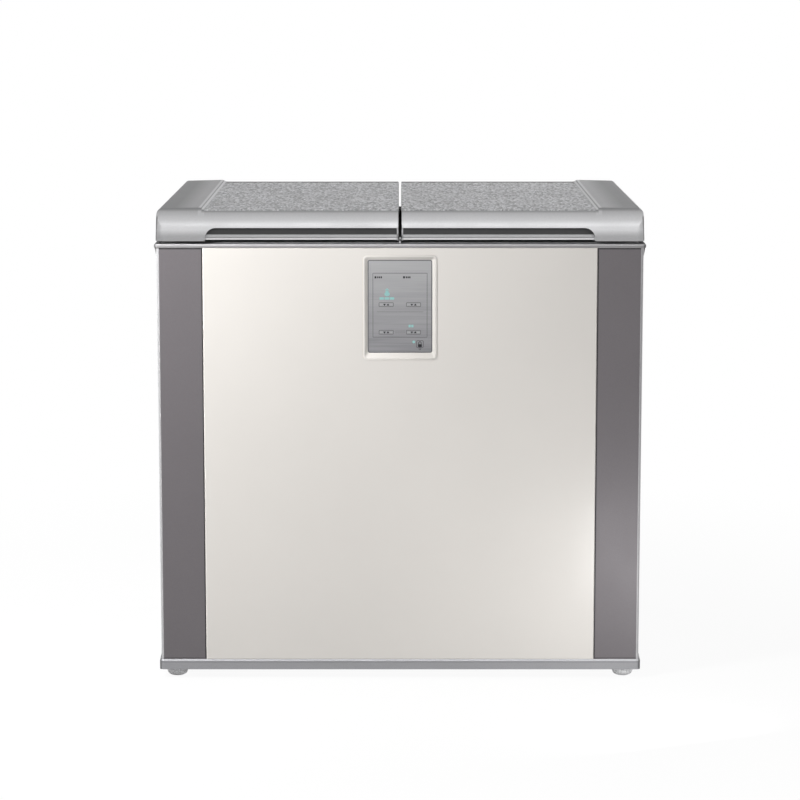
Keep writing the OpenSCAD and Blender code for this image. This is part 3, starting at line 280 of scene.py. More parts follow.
def make_floor():
    """A wide floor that looks white, but bounces light like a grey one."""
    bpy.ops.mesh.primitive_plane_add(size=FLOOR_SIZE)
    floor = bpy.context.object
    floor.name = "studio_floor"
    paint = Finish("studio_floor", Base_Color=FLOOR_BOUNCE, Roughness=0.9, Specular_IOR_Level=0.0)
    white = paint.node("Emission", inputs={"Color": (1, 1, 1, 1), "Strength": 1.0})
    lit = paint.node("BsdfDiffuse", inputs={"Color": (1, 1, 1, 1)})
    reach = paint.node("VectorMath", {"operation": "LENGTH"}, {0: paint.place}, output="Value")
    share = paint.spread(reach, SHADOW_NEAR, SHADOW_FAR, FLOOR_SHADOW, 0.0)
    shown = paint.node("MixShader", inputs={0: share, 1: white, 2: lit})
    bounced = Wire(paint, paint.tree.nodes["Principled BSDF"].outputs[0])
    both = paint.node("MixShader", inputs={0: paint.backdrop_rays(), 1: bounced, 2: shown})
    paint.join(both, "OutputMaterial", "Surface")
    floor.data.materials.append(paint.material)


def make_world():
    """A world that looks white and lights the object dimly."""
    world = bpy.data.worlds.new("studio")
    bpy.context.scene.world = world
    world.use_nodes = True
    sky = Graph(world.node_tree)
    sky.tree.nodes["Background"].inputs["Color"].default_value = (1, 1, 1, 1)
    sky.join(SKY_LIGHT + (1 - SKY_LIGHT) * sky.backdrop_rays(), "Background", "Strength")


make_floor()
make_world()
print("floor and world made")

# %% [markdown]
# ## The lamps
#
# Gloss and form come from where the light stands. A softbox in front lights everything evenly. Two
# small lamps close to the front, one high on the left and one low on the right, give the panel its
# diagonal fall of brightness. A photographer would hold a card in front of them to keep them off
# the lids, which have a long lamp of their own: far off and level, so that it draws a highlight
# along their nose and leaves their tops calm. A soft lamp overhead lights the lid tops and, with a
# lid open, the wells. Light linking does the work of the card: a lamp's receiver collection names
# the pieces that it lights, or those that it leaves out. The lamps at the sides and behind light
# the other faces for anyone who walks round.

# %% Lamps
LAMPS = {   # place, point aimed at, width, height, watts, what it lights
    "front_softbox": ((0.1, -4.65, 1.40), (0, -0.4, 0.85), 2.4, 0.7, 20, "all"),
    "near_left": ((-1.30, -1.35, 1.65), (-0.65, -0.38, 1.15), 0.45, 0.45, 42, "body"),
    "near_right": ((0.52, -0.84, 0.14), (0.32, -0.38, 0.14), 0.30, 0.20, 1.05, "body"),
    "lid_strip": ((0.0, -4.65, 1.65), (0, -0.4, 0.85), 3.0, 0.3, 96, "lids"),
    "lid_top": ((0.0, 0.4, 3.4), (0, 0, 0.9), 1.6, 1.2, 15, "tops"),
    "left_side": ((-3.6, 1.0, 1.0), (-0.46, 0.1, 0.5), 1.6, 0.8, 34, "all"),
    "right_side": ((3.6, 1.0, 1.0), (0.46, 0.1, 0.5), 1.6, 0.8, 34, "all"),
    "rear_left": ((-2.6, 3.4, 1.6), (0, 0.37, 0.5), 1.6, 1.2, 42, "all"),
    "rear_right": ((2.6, 3.4, 1.6), (0, 0.37, 0.5), 1.6, 1.2, 42, "all"),
}
SIDES = ("left", "right")
LID_NODES = [f"{side}_lid_{piece}" for side in SIDES for piece in ("cover", "skin", "grip")]
INNER_NODES = ["mouth_frame", "sensor_covers"] + [
    f"{side}_{piece}" for side in SIDES
    for piece in ("well", "well_pan", "tubs", "tub_lids", "lid_liner", "gasket")]
RECEIVERS = {   # nodes that a lamp is linked to, and whether it lights them or all but them
    "lids": (LID_NODES, "INCLUDE"),
    "tops": (LID_NODES + INNER_NODES, "INCLUDE"),
    "body": (LID_NODES, "EXCLUDE"),
}


def add_lamp(name, place, target, width, height, watts, subject):
    """An area lamp, linked to the receivers of its subject unless that is "all"."""
    bpy.ops.object.light_add(type="AREA", location=place)
    lamp = bpy.context.object
    lamp.name = name
    lamp.rotation_euler = (Vector(target) - Vector(place)).to_track_quat("-Z", "Y").to_euler()
    lamp.data.shape = "RECTANGLE"
    lamp.data.size = width
    lamp.data.size_y = height
    lamp.data.energy = watts
    if subject in RECEIVERS:
        nodes, state = RECEIVERS[subject]
        linked = bpy.data.collections.new(name + "_receivers")
        for node in nodes:
            linked.objects.link(frame["nodes"][node])
        lamp.light_linking.receiver_collection = linked
        for entry in linked.collection_objects:
            entry.light_linking.link_state = state


for lamp_name, facts in LAMPS.items():
    add_lamp(lamp_name, *facts)
print(len(LAMPS), "lamps")

# %% [markdown]
# ## Ivory coated steel
#
# The front panel is steel sheet under a warm ivory film with a gloss coat. Such film is never quite
# even: under a raking light it shows a faint orange peel, and its gloss wanders a little where
# hands and cloths have been. A clear coat over a softer base gives the depth of the real finish.
# The display's rim slopes inwards all round; painted light makes it a little paler on its left
# slope, which turns away from the light, and painted shade darker on its right one. A thin line of
# painted highlight runs along the panel's folded sides.

# %% The ivory panel and the display's rim
IVORY = (0.750, 0.720, 0.682)
FOLD_HIGHLIGHT_TONE = 1.14
# the rim's tones are painted light on its left slope and painted shade on its right one
RIM_SHADING_SHARE = 0.8     # how much of the rim's colour follows its tones
PANEL_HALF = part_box("front_panel")[1].x
DISPLAY_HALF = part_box("display_frame")[1].x


def ivory_coat(name, roughness, peel, left=1.0, right=1.0):
    """Ivory film with a painted highlight at its folds, and painted shading from left to right."""
    coat = Finish(name, Roughness=roughness, Coat_Weight=0.30, Coat_Roughness=0.15)
    cloud = coat.spread(coat.noise(0.25, 3), 0.35, 0.65)
    film = coat.blend(cloud, shade(IVORY, 0.988), shade(IVORY, 1.012))
    # a thin line of painted highlight along the panel's folded sides
    fold_highlight = coat.spread(abs(coat.along("X")), PANEL_HALF - 3 * MM, PANEL_HALF - 1.5 * MM)
    film = coat.blend(fold_highlight, film, shade(IVORY, FOLD_HIGHLIGHT_TONE))
    # painted light on the rim's left slope, painted shade on its right one
    if left != right:
        side = coat.spread(coat.along("X"), -DISPLAY_HALF, DISPLAY_HALF)
        painted_shading = coat.blend(side, shade(IVORY, left), shade(IVORY, right))
        film = coat.blend(RIM_SHADING_SHARE, film, painted_shading)
    coat.paint("Base Color", film)
    coat.sheen_patches(roughness, 0.05, 0.18)
    coat.relief(coat.noise(0.005, 2), peel)
    return coat.material


finishes["panel_ivory"] = ivory_coat("ivory_coated_steel", 0.36, 0.00003)
finishes["display_rim"] = ivory_coat("ivory_painted_plastic", 0.42, 0.00002, left=1.22, right=0.84)
print("ivory made")

# %% [markdown]
# ## Paint with metal flakes
#
# The lids, the trims and the pillars are painted in colours that hold fine aluminium flakes. Each
# flake catches the light at its own angle, so close up the surface sparkles and from a step away
# it is a satin grey. One recipe serves them all: small grains of different brightness, a low
# metallic share for a highlight in the paint's own colour, and a slow wander of the sheen.

# %% Flake paint of one tone
FLAKE = 0.7 * MM


def flake_paint(name, colour, roughness, metallic, sparkle):
    """Flake paint of one tone all over, its grains darker and lighter by the sparkle."""
    paint = Finish(name, Roughness=roughness, Metallic=metallic, Specular_IOR_Level=0.35)
    paint.tones(colour, 0.6 * paint.grains(FLAKE) + 0.4 * paint.noise(0.10, 3), sparkle)
    paint.sheen_patches(roughness, 0.03, 0.06)
    paint.relief(paint.noise(0.004, 2), 0.00002)
    return paint.material


# %% [markdown]
# ## Zones in the paint
#
# Painted pieces never look one tone all over: a crease gathers shade, a seam shows as a dark line
# and a bead as a bright one. Real ambient shade would do some of this, but the lines are only a
# millimetre or two wide and would be lost from a few steps away. So they are painted into the
# colour, as painted shade and painted highlights. A zone is a mask of 0 to 1 worked out from where
# a point lies on the piece, and it comes with a factor for the colour and with a roughness. The
# masks are soft-edged steps along an axis, multiplied where two conditions must hold. To see where
# a zone falls, give it a factor of 5 for a moment.

# %% Flake paint with zones
def zoned_flake_paint(name, colour, roughness, metallic, zones, specular=0.15):
    """Flake paint with zones, each given as its mask, its colour factor and its roughness."""
    paint = Finish(name, Roughness=roughness, Metallic=metallic, Specular_IOR_Level=specular)
    share = 0.6 * paint.grains(FLAKE) + 0.4 * paint.noise(0.10, 3)

    def sparkling(factor):
        return paint.blend(share, shade(colour, 0.9 * factor), shade(colour, 1.1 * factor))

    tone = sparkling(1)
    gloss = paint.spread(paint.noise(0.06, 3), 0.35, 0.65, roughness - 0.03, roughness + 0.03)
    metal = metallic
    for mask, factor, dullness in zones(paint):
        tone = paint.blend(mask, tone, sparkling(factor))
        gloss = gloss + mask * (dullness - gloss)
        metal = metal * (1 - mask)
    paint.paint("Base Color", tone)
    paint.paint("Roughness", gloss)
    paint.paint("Metallic", metal)
    paint.relief(paint.noise(0.004, 2), 0.00002)
    return paint.material


# %% Zones of the lids, from places on them in metres
LID_CREASE = 0.9088     # height at which the nose begins to roll over
END_RISE = 0.0030       # how much higher the end tops stand than the patterned sheet
SKIN_END = 0.3765       # half the width over both patterned sheets, with the gap beside them
BEVEL_END = 0.3825      # where the bevel beside a sheet meets the end top
LOW_FACE = 0.868        # height below which the front turns away from the strip light
LID_FLARE = 3 / 58      # the ends lean in by this much to a unit of height
SLIT_FACE = 0.0031      # half the width of the slit between the lids
LIP_TOP = 0.8605        # height of the finger channel's lower lip
lid_low, lid_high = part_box("right_lid_cover")
LID_FRONT = lid_low.y
LID_FLANK = lid_high.x + LID_FLARE * lid_low.z
SKIN_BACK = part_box("right_lid_skin")[1].y


def lid_zones(paint):
    """Painted shade on tops, low faces, creases, edges and slit; painted highlight on bevels."""
    height, depth = paint.along("Z"), paint.along("Y")
    across = abs(paint.along("X"))
    flat_top = paint.spread(height, LID_CREASE - 14 * MM, LID_CREASE)
    crest = LID_CREASE + END_RISE * (across > SKIN_END)
    crease = paint.band(height, crest - 5.5 * MM, crest - 1.5 * MM, crest, crest + 0.8 * MM)
    low_face = 1 - paint.spread(height, LOW_FACE - 8 * MM, LOW_FACE + 5 * MM)
    flank = paint.spread(across + LID_FLARE * height, LID_FLANK - 3.2 * MM, LID_FLANK - 2.2 * MM)
    front_edge = 1 - paint.spread(depth, LID_FRONT + 4 * MM, LID_FRONT + 8 * MM)
    rim = front_edge.larger(paint.spread(height, LID_CREASE - 3 * MM, LID_CREASE))
    far_edge = paint.spread(depth, SKIN_BACK - 2 * MM, SKIN_BACK)
    in_slit = 1 - paint.spread(across, SLIT_FACE, SLIT_FACE + 0.3 * MM)
    bevel = paint.band(across, SKIN_END - 6 * MM, SKIN_END - 5 * MM, BEVEL_END, BEVEL_END + 1 * MM)
    # the bevel zone is a painted highlight; every other zone is painted shade
    return [   # mask, colour factor, roughness
        (flat_top, 0.82, 0.80), (bevel * flat_top, 1.08, 0.60), (low_face, 0.76, 0.50),
        (crease, 0.55, 0.80), (flank * rim, 0.25, 0.80), (far_edge, 0.62, 0.80),
        (in_slit, 0.02, 0.95)]


def grip_zones(paint):
    """Painted shade on the upper part of the finger channel; its lower lip keeps the pale paint."""
    # painted shade in the channel's upper part, under the overhanging nose
    channel_shade = paint.spread(paint.along("Z"), LIP_TOP - 1 * MM, LIP_TOP + 1.5 * MM)
    return [(channel_shade, 0.10, 0.90)]


finishes["lid_silver"] = zoned_flake_paint("silver_lid_paint", (0.60, 0.60, 0.61), 0.48, 0.20,
                                           lid_zones)
finishes["grip"] = zoned_flake_paint("silver_grip_paint", (0.83, 0.83, 0.84), 0.42, 0.05,
                                     grip_zones)
print("lid paints made")

# %% [markdown]
# ## Rails and pillars
#
# The top trim and the base trim are rails with a rounded upper bead, which catches the light in one
# bright line, and a seam below it. A lamp would have to stand exactly right to draw that line, and
# it would move with the viewer. So the line is a painted highlight, the seam and the rail's front
# ends carry painted shade, and the upper face has painted shade on the top trim and painted light
# on the base trim. The bands are zones, counted downwards from the rail's visible top. A pillar has
# painted shade in the seams where it meets the front panel, the trim and the base.

# %% Zones of the rails and the pillars
TRIM_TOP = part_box("top_trim")[1].z
BASE_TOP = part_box("front_panel")[0].z   # the base trim goes on upwards behind the panel
RAIL_TOP_FACE = (1.2, 0.6)              # where a rail's bands begin and end, in mm below its top
RAIL_BEAD_HIGHLIGHT = (3.8, 3.0, 1.2, 0.6)
RAIL_SEAM_SHADE = (7.0, 6.0, 5.0, 4.0)


def rail_zones(node, top, top_face_shading, bead_highlight, seam_shade):
    """Painted shading on a rail's upper face, highlight on its bead, and shade in the seam below
    it.
    """
    low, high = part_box(node)

    def zones(paint):
        height, depth, across = paint.along("Z"), paint.along("Y"), abs(paint.along("X"))
        upper, shine, line = ([top - mark * MM for mark in marks]
                              for marks in (RAIL_TOP_FACE, RAIL_BEAD_HIGHLIGHT, RAIL_SEAM_SHADE))
        end = paint.spread(across, high.x - 5 * MM, high.x - 3 * MM)
        front = 1 - paint.spread(depth, low.y + 8 * MM, low.y + 14 * MM)
        # upper face: painted shading by its factor; bead: painted highlight; seam and front ends:
        # painted shade
        return [(paint.spread(height, *upper), top_face_shading, 0.7),
                (paint.band(height, *shine), bead_highlight, 0.4),
                (paint.band(height, *line), seam_shade, 0.5),
                (end * front, 0.40, 0.6)]
    return zones


def pillar_zones(paint):
    """Painted shade in the seams along a pillar's inner edge, under the trim and above the base."""
    low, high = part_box("right_pillar")
    height, across = paint.along("Z"), abs(paint.along("X"))
    inner = 1 - paint.spread(across, low.x + 2.0 * MM, low.x + 3.0 * MM)
    top = paint.spread(height, high.z - 3.5 * MM, high.z - 2.5 * MM)
    foot = 1 - paint.spread(height, low.z + 2.0 * MM, low.z + 4.0 * MM)
    # painted shade in the seams beside the panel, under the trim and above the base
    return [(inner.larger(top), 0.35, 0.6), (foot, 0.60, 0.6)]


TRIM_ZONES = rail_zones("top_trim", TRIM_TOP, top_face_shading=0.20, bead_highlight=1.75, seam_shade=0.92)
BASE_ZONES = rail_zones("base_trim", BASE_TOP, top_face_shading=1.75, bead_highlight=1.75, seam_shade=0.80)

# %% Paint the rails, the pillars and the sides
finishes["trim_silver"] = zoned_flake_paint("silver_trim_paint", (0.325, 0.32, 0.325), 0.36, 0.2,
                                            TRIM_ZONES, specular=0.35)
finishes["base_grey"] = zoned_flake_paint("silver_base_paint", (0.335, 0.335, 0.35), 0.38, 0.2,
                                          BASE_ZONES, specular=0.35)
finishes["pillar_gunmetal"] = zoned_flake_paint("gunmetal_paint", (0.155, 0.143, 0.151), 0.42, 0.2,
                                                pillar_zones, specular=0.35)
finishes["side_steel"] = flake_paint("grey_side_paint", (0.47, 0.465, 0.475), 0.45, 0.15,
                                     sparkle=0.05)
print("flake paints made")

# %% [markdown]
# ## The crystal grain of the lid tops
#
# The flat top sheets carry a printed grain like frost on a window: slim crystals that mostly run
# from front to back, over a bed of small ones, under a clear coat. Voronoi cells are the natural
# choice, because each cell has an edge and a value of its own as a crystal has. The cells are drawn
# out along the depth, and a few of the brightest are lifted to flecks. A band of painted shade
# darkens the sheet at the back, which from the front shows as a thin dark line along its far edge.

# %% Crystal grain
GRAIN_DARK, GRAIN_PALE = (0.16, 0.16, 0.165), (0.93, 0.93, 0.95)
FLECK_COLOUR = (0.98, 0.98, 1.0)
FAR_EDGE_SHADE_COLOUR = (0.12, 0.12, 0.125)
NEEDLE, BED, FLECK = 0.0036, 0.0027, 0.0030   # sizes of the crystals in metres


def crystal_grain():
    """Slim pale and dark crystals with flecks, and a band of painted shade at the back."""
    sheet = Finish("crystal_grain_sheet", Roughness=0.65, Specular_IOR_Level=0.10)
    bend = sheet.noise(0.03, 2)
    needles = sheet.grains(NEEDLE, sheet.stretched(y=5))
    bed = sheet.grains(BED)
    flecks = sheet.spread(sheet.grains(FLECK, sheet.stretched(y=3)), 0.90, 0.97)
    share = 0.55 * needles + 0.25 * bed + 0.20 * bend
    frost = sheet.blend(flecks * 0.8, sheet.blend(share, GRAIN_DARK, GRAIN_PALE), FLECK_COLOUR)
    # painted shade in a band along the sheet's far edge
    far_edge_shade = sheet.spread(sheet.along("Y"), SKIN_BACK - 25 * MM, SKIN_BACK - 23 * MM)
    sheet.paint("Base Color", sheet.blend(far_edge_shade, frost, FAR_EDGE_SHADE_COLOUR))
    sheet.paint("Roughness", sheet.spread(needles, 0, 1, 0.60, 0.75))
    sheet.relief(needles, 0.00006)
    return sheet.material


finishes["lid_skin"] = crystal_grain()
print("crystal grain made")

# %% [markdown]
# ## Plastics and rubber
#
# Moulded plastic takes its surface from the mould: a fine even texture where it should look calm,
# and a polish where it should wipe clean. Vacuum-formed liners stay glossy. Rubber is nearly black,
# dull, and a little paler where its surface has bloomed.

# %% Moulded, formed and rubber pieces
def moulded(name, colour, roughness, texture=0.9 * MM, depth=0.00004, coat=0.0):
    """Plastic with the texture of its mould, this wide and deep, and a gloss coat if wanted."""
    plastic = Finish(name, Roughness=roughness, Coat_Weight=coat, Coat_Roughness=0.12)
    plastic.tones(colour, plastic.spread(plastic.noise(0.05, 3), 0.35, 0.65), 0.03)
    plastic.sheen_patches(roughness, 0.05, 0.03)
    plastic.relief(plastic.noise(texture, 2), depth)
    return plastic.material


def rubber(name, colour, bloom=0.35):
    """Dull rubber, paler in patches by the bloom."""
    skin = Finish(name, Roughness=0.68, Specular_IOR_Level=0.3)
    skin.tones(colour, skin.spread(skin.noise(0.02, 4), 0.4, 0.7), bloom)
    skin.sheen_patches(0.68, 0.08, 0.012)
    skin.relief(skin.noise(0.6 * MM, 3), 0.00006)
    return skin.material


MOULDED = {   # colour, roughness
    "deck_plastic": ((0.52, 0.52, 0.525), 0.40),
    "sensor_white": ((0.72, 0.72, 0.71), 0.50),
    "hinge_cover": ((0.50, 0.50, 0.51), 0.50),
    "fan_white": ((0.70, 0.70, 0.69), 0.45),
    "shroud": ((0.42, 0.42, 0.43), 0.50),
    "control_box": ((0.62, 0.60, 0.54), 0.50),
    "foot_plastic": ((0.88, 0.88, 0.89), 0.48),
    "tub_lid": ((0.40, 0.41, 0.43), 0.45),
}
for slot, (colour, roughness) in MOULDED.items():
    finishes[slot] = moulded("moulded_" + slot, colour, roughness)
finishes["liner_white"] = moulded("formed_liner", (0.78, 0.78, 0.77), 0.30, 6 * MM, 0.00006, 0.3)
finishes["tub"] = moulded("translucent_tub", (0.74, 0.75, 0.74), 0.28, 8 * MM, 0.00005, 0.2)
finishes["gasket"] = rubber("gasket_rubber", (0.012, 0.012, 0.013))
finishes["mount_rubber"] = rubber("mount_rubber", (0.030, 0.030, 0.030))
finishes["grommet"] = rubber("grommet_rubber", (0.020, 0.020, 0.020))
finishes["wheel_plastic"] = rubber("wheel_tread", (0.045, 0.045, 0.047), 0.5)
print(len(finishes), "finishes so far")

# %% [markdown]
# ## Bare metals
#
# Galvanised sheet shows spangles, flat crystals of zinc as wide as a thumb that differ in tone and
# sheen. Zinc-plated fittings are finer and cloudier. The wells are aluminium sheet with an embossed
# skin, which hides scratches and helps brine to run off. Copper tube darkens in patches, and paint
# on the compressor is thick and glossy.

# %% Steel, aluminium, copper and black enamel
def galvanised(name, colour, spangle):
    """Zinc on steel, with crystals of this size."""
    zinc = Finish(name, Roughness=0.42, Metallic=0.85)
    crystals = zinc.grains(spangle)
    zinc.tones(colour, 0.7 * crystals + 0.3 * zinc.noise(0.2, 3), 0.09)
    zinc.paint("Roughness", zinc.spread(crystals, 0, 1, 0.36, 0.52))
    zinc.relief(zinc.noise(0.003, 3), 0.00003)
    return zinc.material


def embossed_aluminium():
    """Aluminium sheet with a skin of rounded pebbles."""
    skin = Finish("embossed_aluminium", Roughness=0.34, Metallic=0.9)
    pebbles = skin.dimples(0.0055)
    skin.tones((0.66, 0.67, 0.68), skin.spread(pebbles, 0.1, 0.7), 0.08)
    skin.sheen_patches(0.34, 0.05, 0.05)
    skin.relief(1 - pebbles, 0.0006)
    return skin.material


def copper_tube():
    """Bright copper with darker patches of tarnish."""
    tube = Finish("copper_tube", Roughness=0.34, Metallic=0.95)
    tarnish = tube.spread(tube.noise(0.03, 4), 0.45, 0.62)
    tube.paint("Base Color", tube.blend(tarnish, (0.72, 0.37, 0.24), (0.30, 0.14, 0.09)))
    tube.paint("Roughness", tube.spread(tarnish, 0, 1, 0.28, 0.5))
    tube.relief(tube.noise(0.002, 2), 0.00003)
    return tube.material


def enamel(name, colour, roughness, dust_and_painted_light):
    """Thick paint, with up to this share of dust lying on it."""
    coat = Finish(name, Roughness=roughness, Coat_Weight=0.4, Coat_Roughness=0.15)
    film = coat.spread(coat.noise(0.04, 5, roughness=0.6), 0.45, 0.75, 0.0, dust_and_painted_light)
    coat.paint("Base Color", coat.blend(film, colour, (0.24, 0.23, 0.21)))
    coat.paint("Roughness", coat.spread(film, 0, dust_and_painted_light, roughness, roughness + 0.25))
    coat.relief(coat.noise(0.004, 2), 0.00008)
    return coat.material


finishes["rear_steel"] = galvanised("galvanised_rear_sheet", (0.52, 0.525, 0.53), 0.016)
finishes["pan_steel"] = galvanised("galvanised_pan", (0.46, 0.465, 0.47), 0.016)
finishes["hinge_steel"] = galvanised("zinc_plated_hinge", (0.50, 0.505, 0.51), 0.003)
finishes["caster_steel"] = galvanised("zinc_plated_bracket", (0.50, 0.50, 0.50), 0.003)
finishes["screw_steel"] = galvanised("zinc_plated_screw", (0.56, 0.56, 0.55), 0.0015)
finishes["pin_steel"] = galvanised("turned_pin", (0.55, 0.55, 0.55), 0.0015)
finishes["spring_steel"] = galvanised("oiled_spring_wire", (0.18, 0.175, 0.17), 0.0015)
finishes["well_aluminium"] = embossed_aluminium()
finishes["tube_copper"] = copper_tube()
finishes["compressor_black"] = enamel("compressor_enamel", (0.012, 0.012, 0.013), 0.22, 0.35)
finishes["condenser_black"] = enamel("condenser_paint", (0.016, 0.016, 0.017), 0.40, 0.5)
finishes["motor_grey"] = enamel("motor_paint", (0.10, 0.10, 0.105), 0.38, 0.3)
print(len(finishes), "finishes so far")

# %% [markdown]
# ## What is sealed inside
#
# Foam and the circuit board hardly ever see daylight, but anyone who takes the model apart will
# meet them. Poured foam is a froth of small closed cells, and the board has pale copper traces
# under its green lacquer.

# %% Foam and circuit board
def poured_foam():
    """A yellowish froth of small cells."""
    froth = Finish("poured_foam", Roughness=0.9, Specular_IOR_Level=0.1)
    cells = froth.dimples(0.002)
    froth.tones((0.72, 0.64, 0.38), froth.spread(froth.noise(0.03, 4), 0.35, 0.65), 0.12)
    froth.relief(cells, 0.0006)
    return froth.material


def circuit_board():
    """Green lacquer over paler traces."""
    board = Finish("circuit_board", Roughness=0.35)
    trace = board.node("TexBrick", inputs={"Vector": board.stretched(), "Scale": 120.0,
                                           "Mortar Size": 0.03}, output="Fac")
    board.paint("Base Color", board.blend(trace, (0.02, 0.16, 0.07), (0.07, 0.30, 0.13)))
    board.relief(trace, 0.00003)
    return board.material


finishes["foam"] = poured_foam()
finishes["display_board"] = circuit_board()
print(len(finishes), "finishes so far")

# %% [markdown]
# ## The display window
#
# The window is a sheet of tinted plastic with a brushed look: fine level lines, and painted light
# that makes it slightly lighter towards the top. Stretched noise is the usual way to brush a
# surface.
# It is squeezed to hairlines in height and drawn out along the width.

# %% Brushed window
WINDOW_DARK, WINDOW_PALE = (0.200, 0.200, 0.212), (0.275, 0.272, 0.285)
WINDOW_TOP_LIGHT, TOP_LIGHT_SHARE = (0.46, 0.46, 0.465), 0.68
window_low, window_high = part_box("display_window")


def brushed_window():
    """Tinted plastic with level hairlines, and painted light that makes it paler towards the top.
    """
    tint = Finish("brushed_display_window", Roughness=0.34, Metallic=0.15, Specular_IOR_Level=0.4,
                  Coat_Weight=0.15, Coat_Roughness=0.12)
    hairs = tint.noise(0.0016, 3, tint.stretched(x=60))
    bands = tint.noise(0.012, 2, tint.stretched(x=12))
    lines = tint.spread(0.5 * hairs + 0.5 * bands, 0.38, 0.62)
    base = tint.blend(lines, WINDOW_DARK, WINDOW_PALE)
    # painted light: the window grows paler towards its top
    top = tint.spread(tint.along("Z"), window_low.z, window_high.z)
    tint.paint("Base Color", tint.blend(top * TOP_LIGHT_SHARE, base, WINDOW_TOP_LIGHT))
    tint.relief(hairs, 0.00002)
    return tint.material


finishes["display_window"] = brushed_window()
print("window made")

# %% [markdown]
# ## Dress the CAD pieces
#
# The imported record says which finish each piece takes, as a list of pieces and slots. A CAD piece
# keeps its mesh and only gets a new material.

# %% Give every CAD piece its finish
for part in frame["record"]["subparts"]:
    mesh = frame["nodes"][part["node"]].data
    mesh.materials.clear()
    mesh.materials.append(finishes[part["material_slot"]])

# %% [markdown]
# ## Tools for flat prints
#
# The keys, marks and lit symbols on the window are printed on it, so each is a flat shape, a tenth
# of a millimetre thick. They could be painted with the window's material, but thin meshes stay
# sharp at any distance and can be lit one by one. All are drawn on one level: a place is given by
# its distance from the window's middle and by its depth below the window's top edge.

# %% Print tools
PRINT_THICKNESS = 0.1 * MM
UPRIGHT = (math.radians(90), 0, 0)   # turns a flat primitive to face the front


def on_window(x, below):
    """The point of the window's face this many millimetres across and below its top edge."""
    return Vector((x * MM, window_low.y, window_high.z - below * MM))


def settled(name):
    """The active object under a new name, with its place, turn and size moved into its mesh."""
    piece = bpy.context.object
    piece.name = name
    bpy.ops.object.transform_apply(location=True, rotation=True, scale=True)
    return piece


def bar(x, below, width, height, corner=0.0):
    """A flat bar, its corners rounded where a corner radius is given."""
    bpy.ops.mesh.primitive_plane_add(size=1, location=on_window(x, below), rotation=UPRIGHT)
    bpy.context.object.scale = (width * MM, height * MM, 1)
    piece = settled("bar")
    if corner:
        bpy.ops.object.mode_set(mode="EDIT")
        bpy.ops.mesh.select_all(action="SELECT")
        bpy.ops.mesh.bevel(offset=corner * MM, segments=4, affect="VERTICES")
        bpy.ops.object.mode_set(mode="OBJECT")
    return piece


def disc(x, below, radius, sides=24, tall=1.0, turn=0):
    """A flat disc, or with few sides a triangle or another regular shape."""
    bpy.ops.mesh.primitive_circle_add(vertices=sides, radius=radius * MM, fill_type="NGON",
                                      location=on_window(x, below),
                                      rotation=(UPRIGHT[0], math.radians(turn), 0))
    bpy.context.object.scale = (1, tall, 1)
    return settled("disc")


def hollow(piece, line):
    """Leaves only an outline of a flat shape, this many millimetres wide."""
    select_only(piece)
    bpy.ops.object.mode_set(mode="EDIT")
    bpy.ops.mesh.select_all(action="SELECT")
    bpy.ops.mesh.inset(thickness=line * MM)
    bpy.ops.mesh.delete(type="FACE")
    bpy.ops.object.mode_set(mode="OBJECT")
    return piece


def printed(name, pieces, finish):
    """Joins flat shapes into one print on the window, gives it thickness and a finish."""
    select_only(*pieces)
    if len(pieces) > 1:
        bpy.ops.object.join()
    piece = settled(name)
    bpy.ops.object.modifier_add(type="SOLIDIFY")
    thick = piece.modifiers[-1]
    thick.thickness = PRINT_THICKNESS
    thick.offset = 1
    bpy.ops.object.modifier_apply(modifier=thick.name)
    piece.data.materials.append(finish)
    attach(piece, "cabinet")
    print(f"{name}: {len(pieces)} shapes, {len(piece.data.polygons)} faces")
    return piece


# %% [markdown]
# ## Keys, frame lines and marks
#
# Ink is opaque and matt, and a touch uneven. A thin frame encloses the two columns of keys, one
# column for each well, and every key is an outline round a pair of arrows, with a pale bar at
# either side of them. The two status marks at the top are a block with a short row of smaller
# ones. Below the frame sits the lock key with a padlock.

# %% Ink
def ink(name, colour):
    """Matt ink, a touch uneven."""
    film = Finish(name, Roughness=0.6, Specular_IOR_Level=0.3)
    film.tones(colour, film.noise(0.8 * MM, 3), 0.15)
    film.relief(film.noise(0.3 * MM, 2), 0.00001)
    return film.material


DARK_INK = ink("dark_print", (0.018, 0.018, 0.022))
LINE_INK = ink("line_print", (0.105, 0.105, 0.112))
PALE_INK = ink("pale_print", (0.36, 0.36, 0.365))
# painted shade, drawn as a dark line round the window's sunk edge
WINDOW_EDGE_SHADE_INK = ink("window_edge_shade", (0.110, 0.110, 0.118))

# %% Frame lines and key outlines
# Places are in millimetres across from the window's middle and down from its top edge
KEY_PLACES = [(-26.3, 85.4), (25.7, 85.4), (-26.3, 138.4), (25.7, 138.4)]
KEY_W, KEY_H = 28.0, 8.4
LINE, THIN_LINE, LOCK_LINE = 0.9, 0.5, 1.2

key_outlines = [hollow(bar(x, below, KEY_W, KEY_H, 1.6), LINE) for x, below in KEY_PLACES]
field_frame = hollow(bar(0, 86.6, 104, 123.4, 1.0), LINE)
divider = bar(0, 99.3, 88, THIN_LINE)
joining_lines = [bar(0, below, 20, THIN_LINE) for below in (136.0, 139.5)]
lock_outline = hollow(bar(38.0, 161.2, 14, 14.4, 2.4), LOCK_LINE)
printed("key_outlines", [*key_outlines, field_frame, divider, *joining_lines, lock_outline],
        LINE_INK)

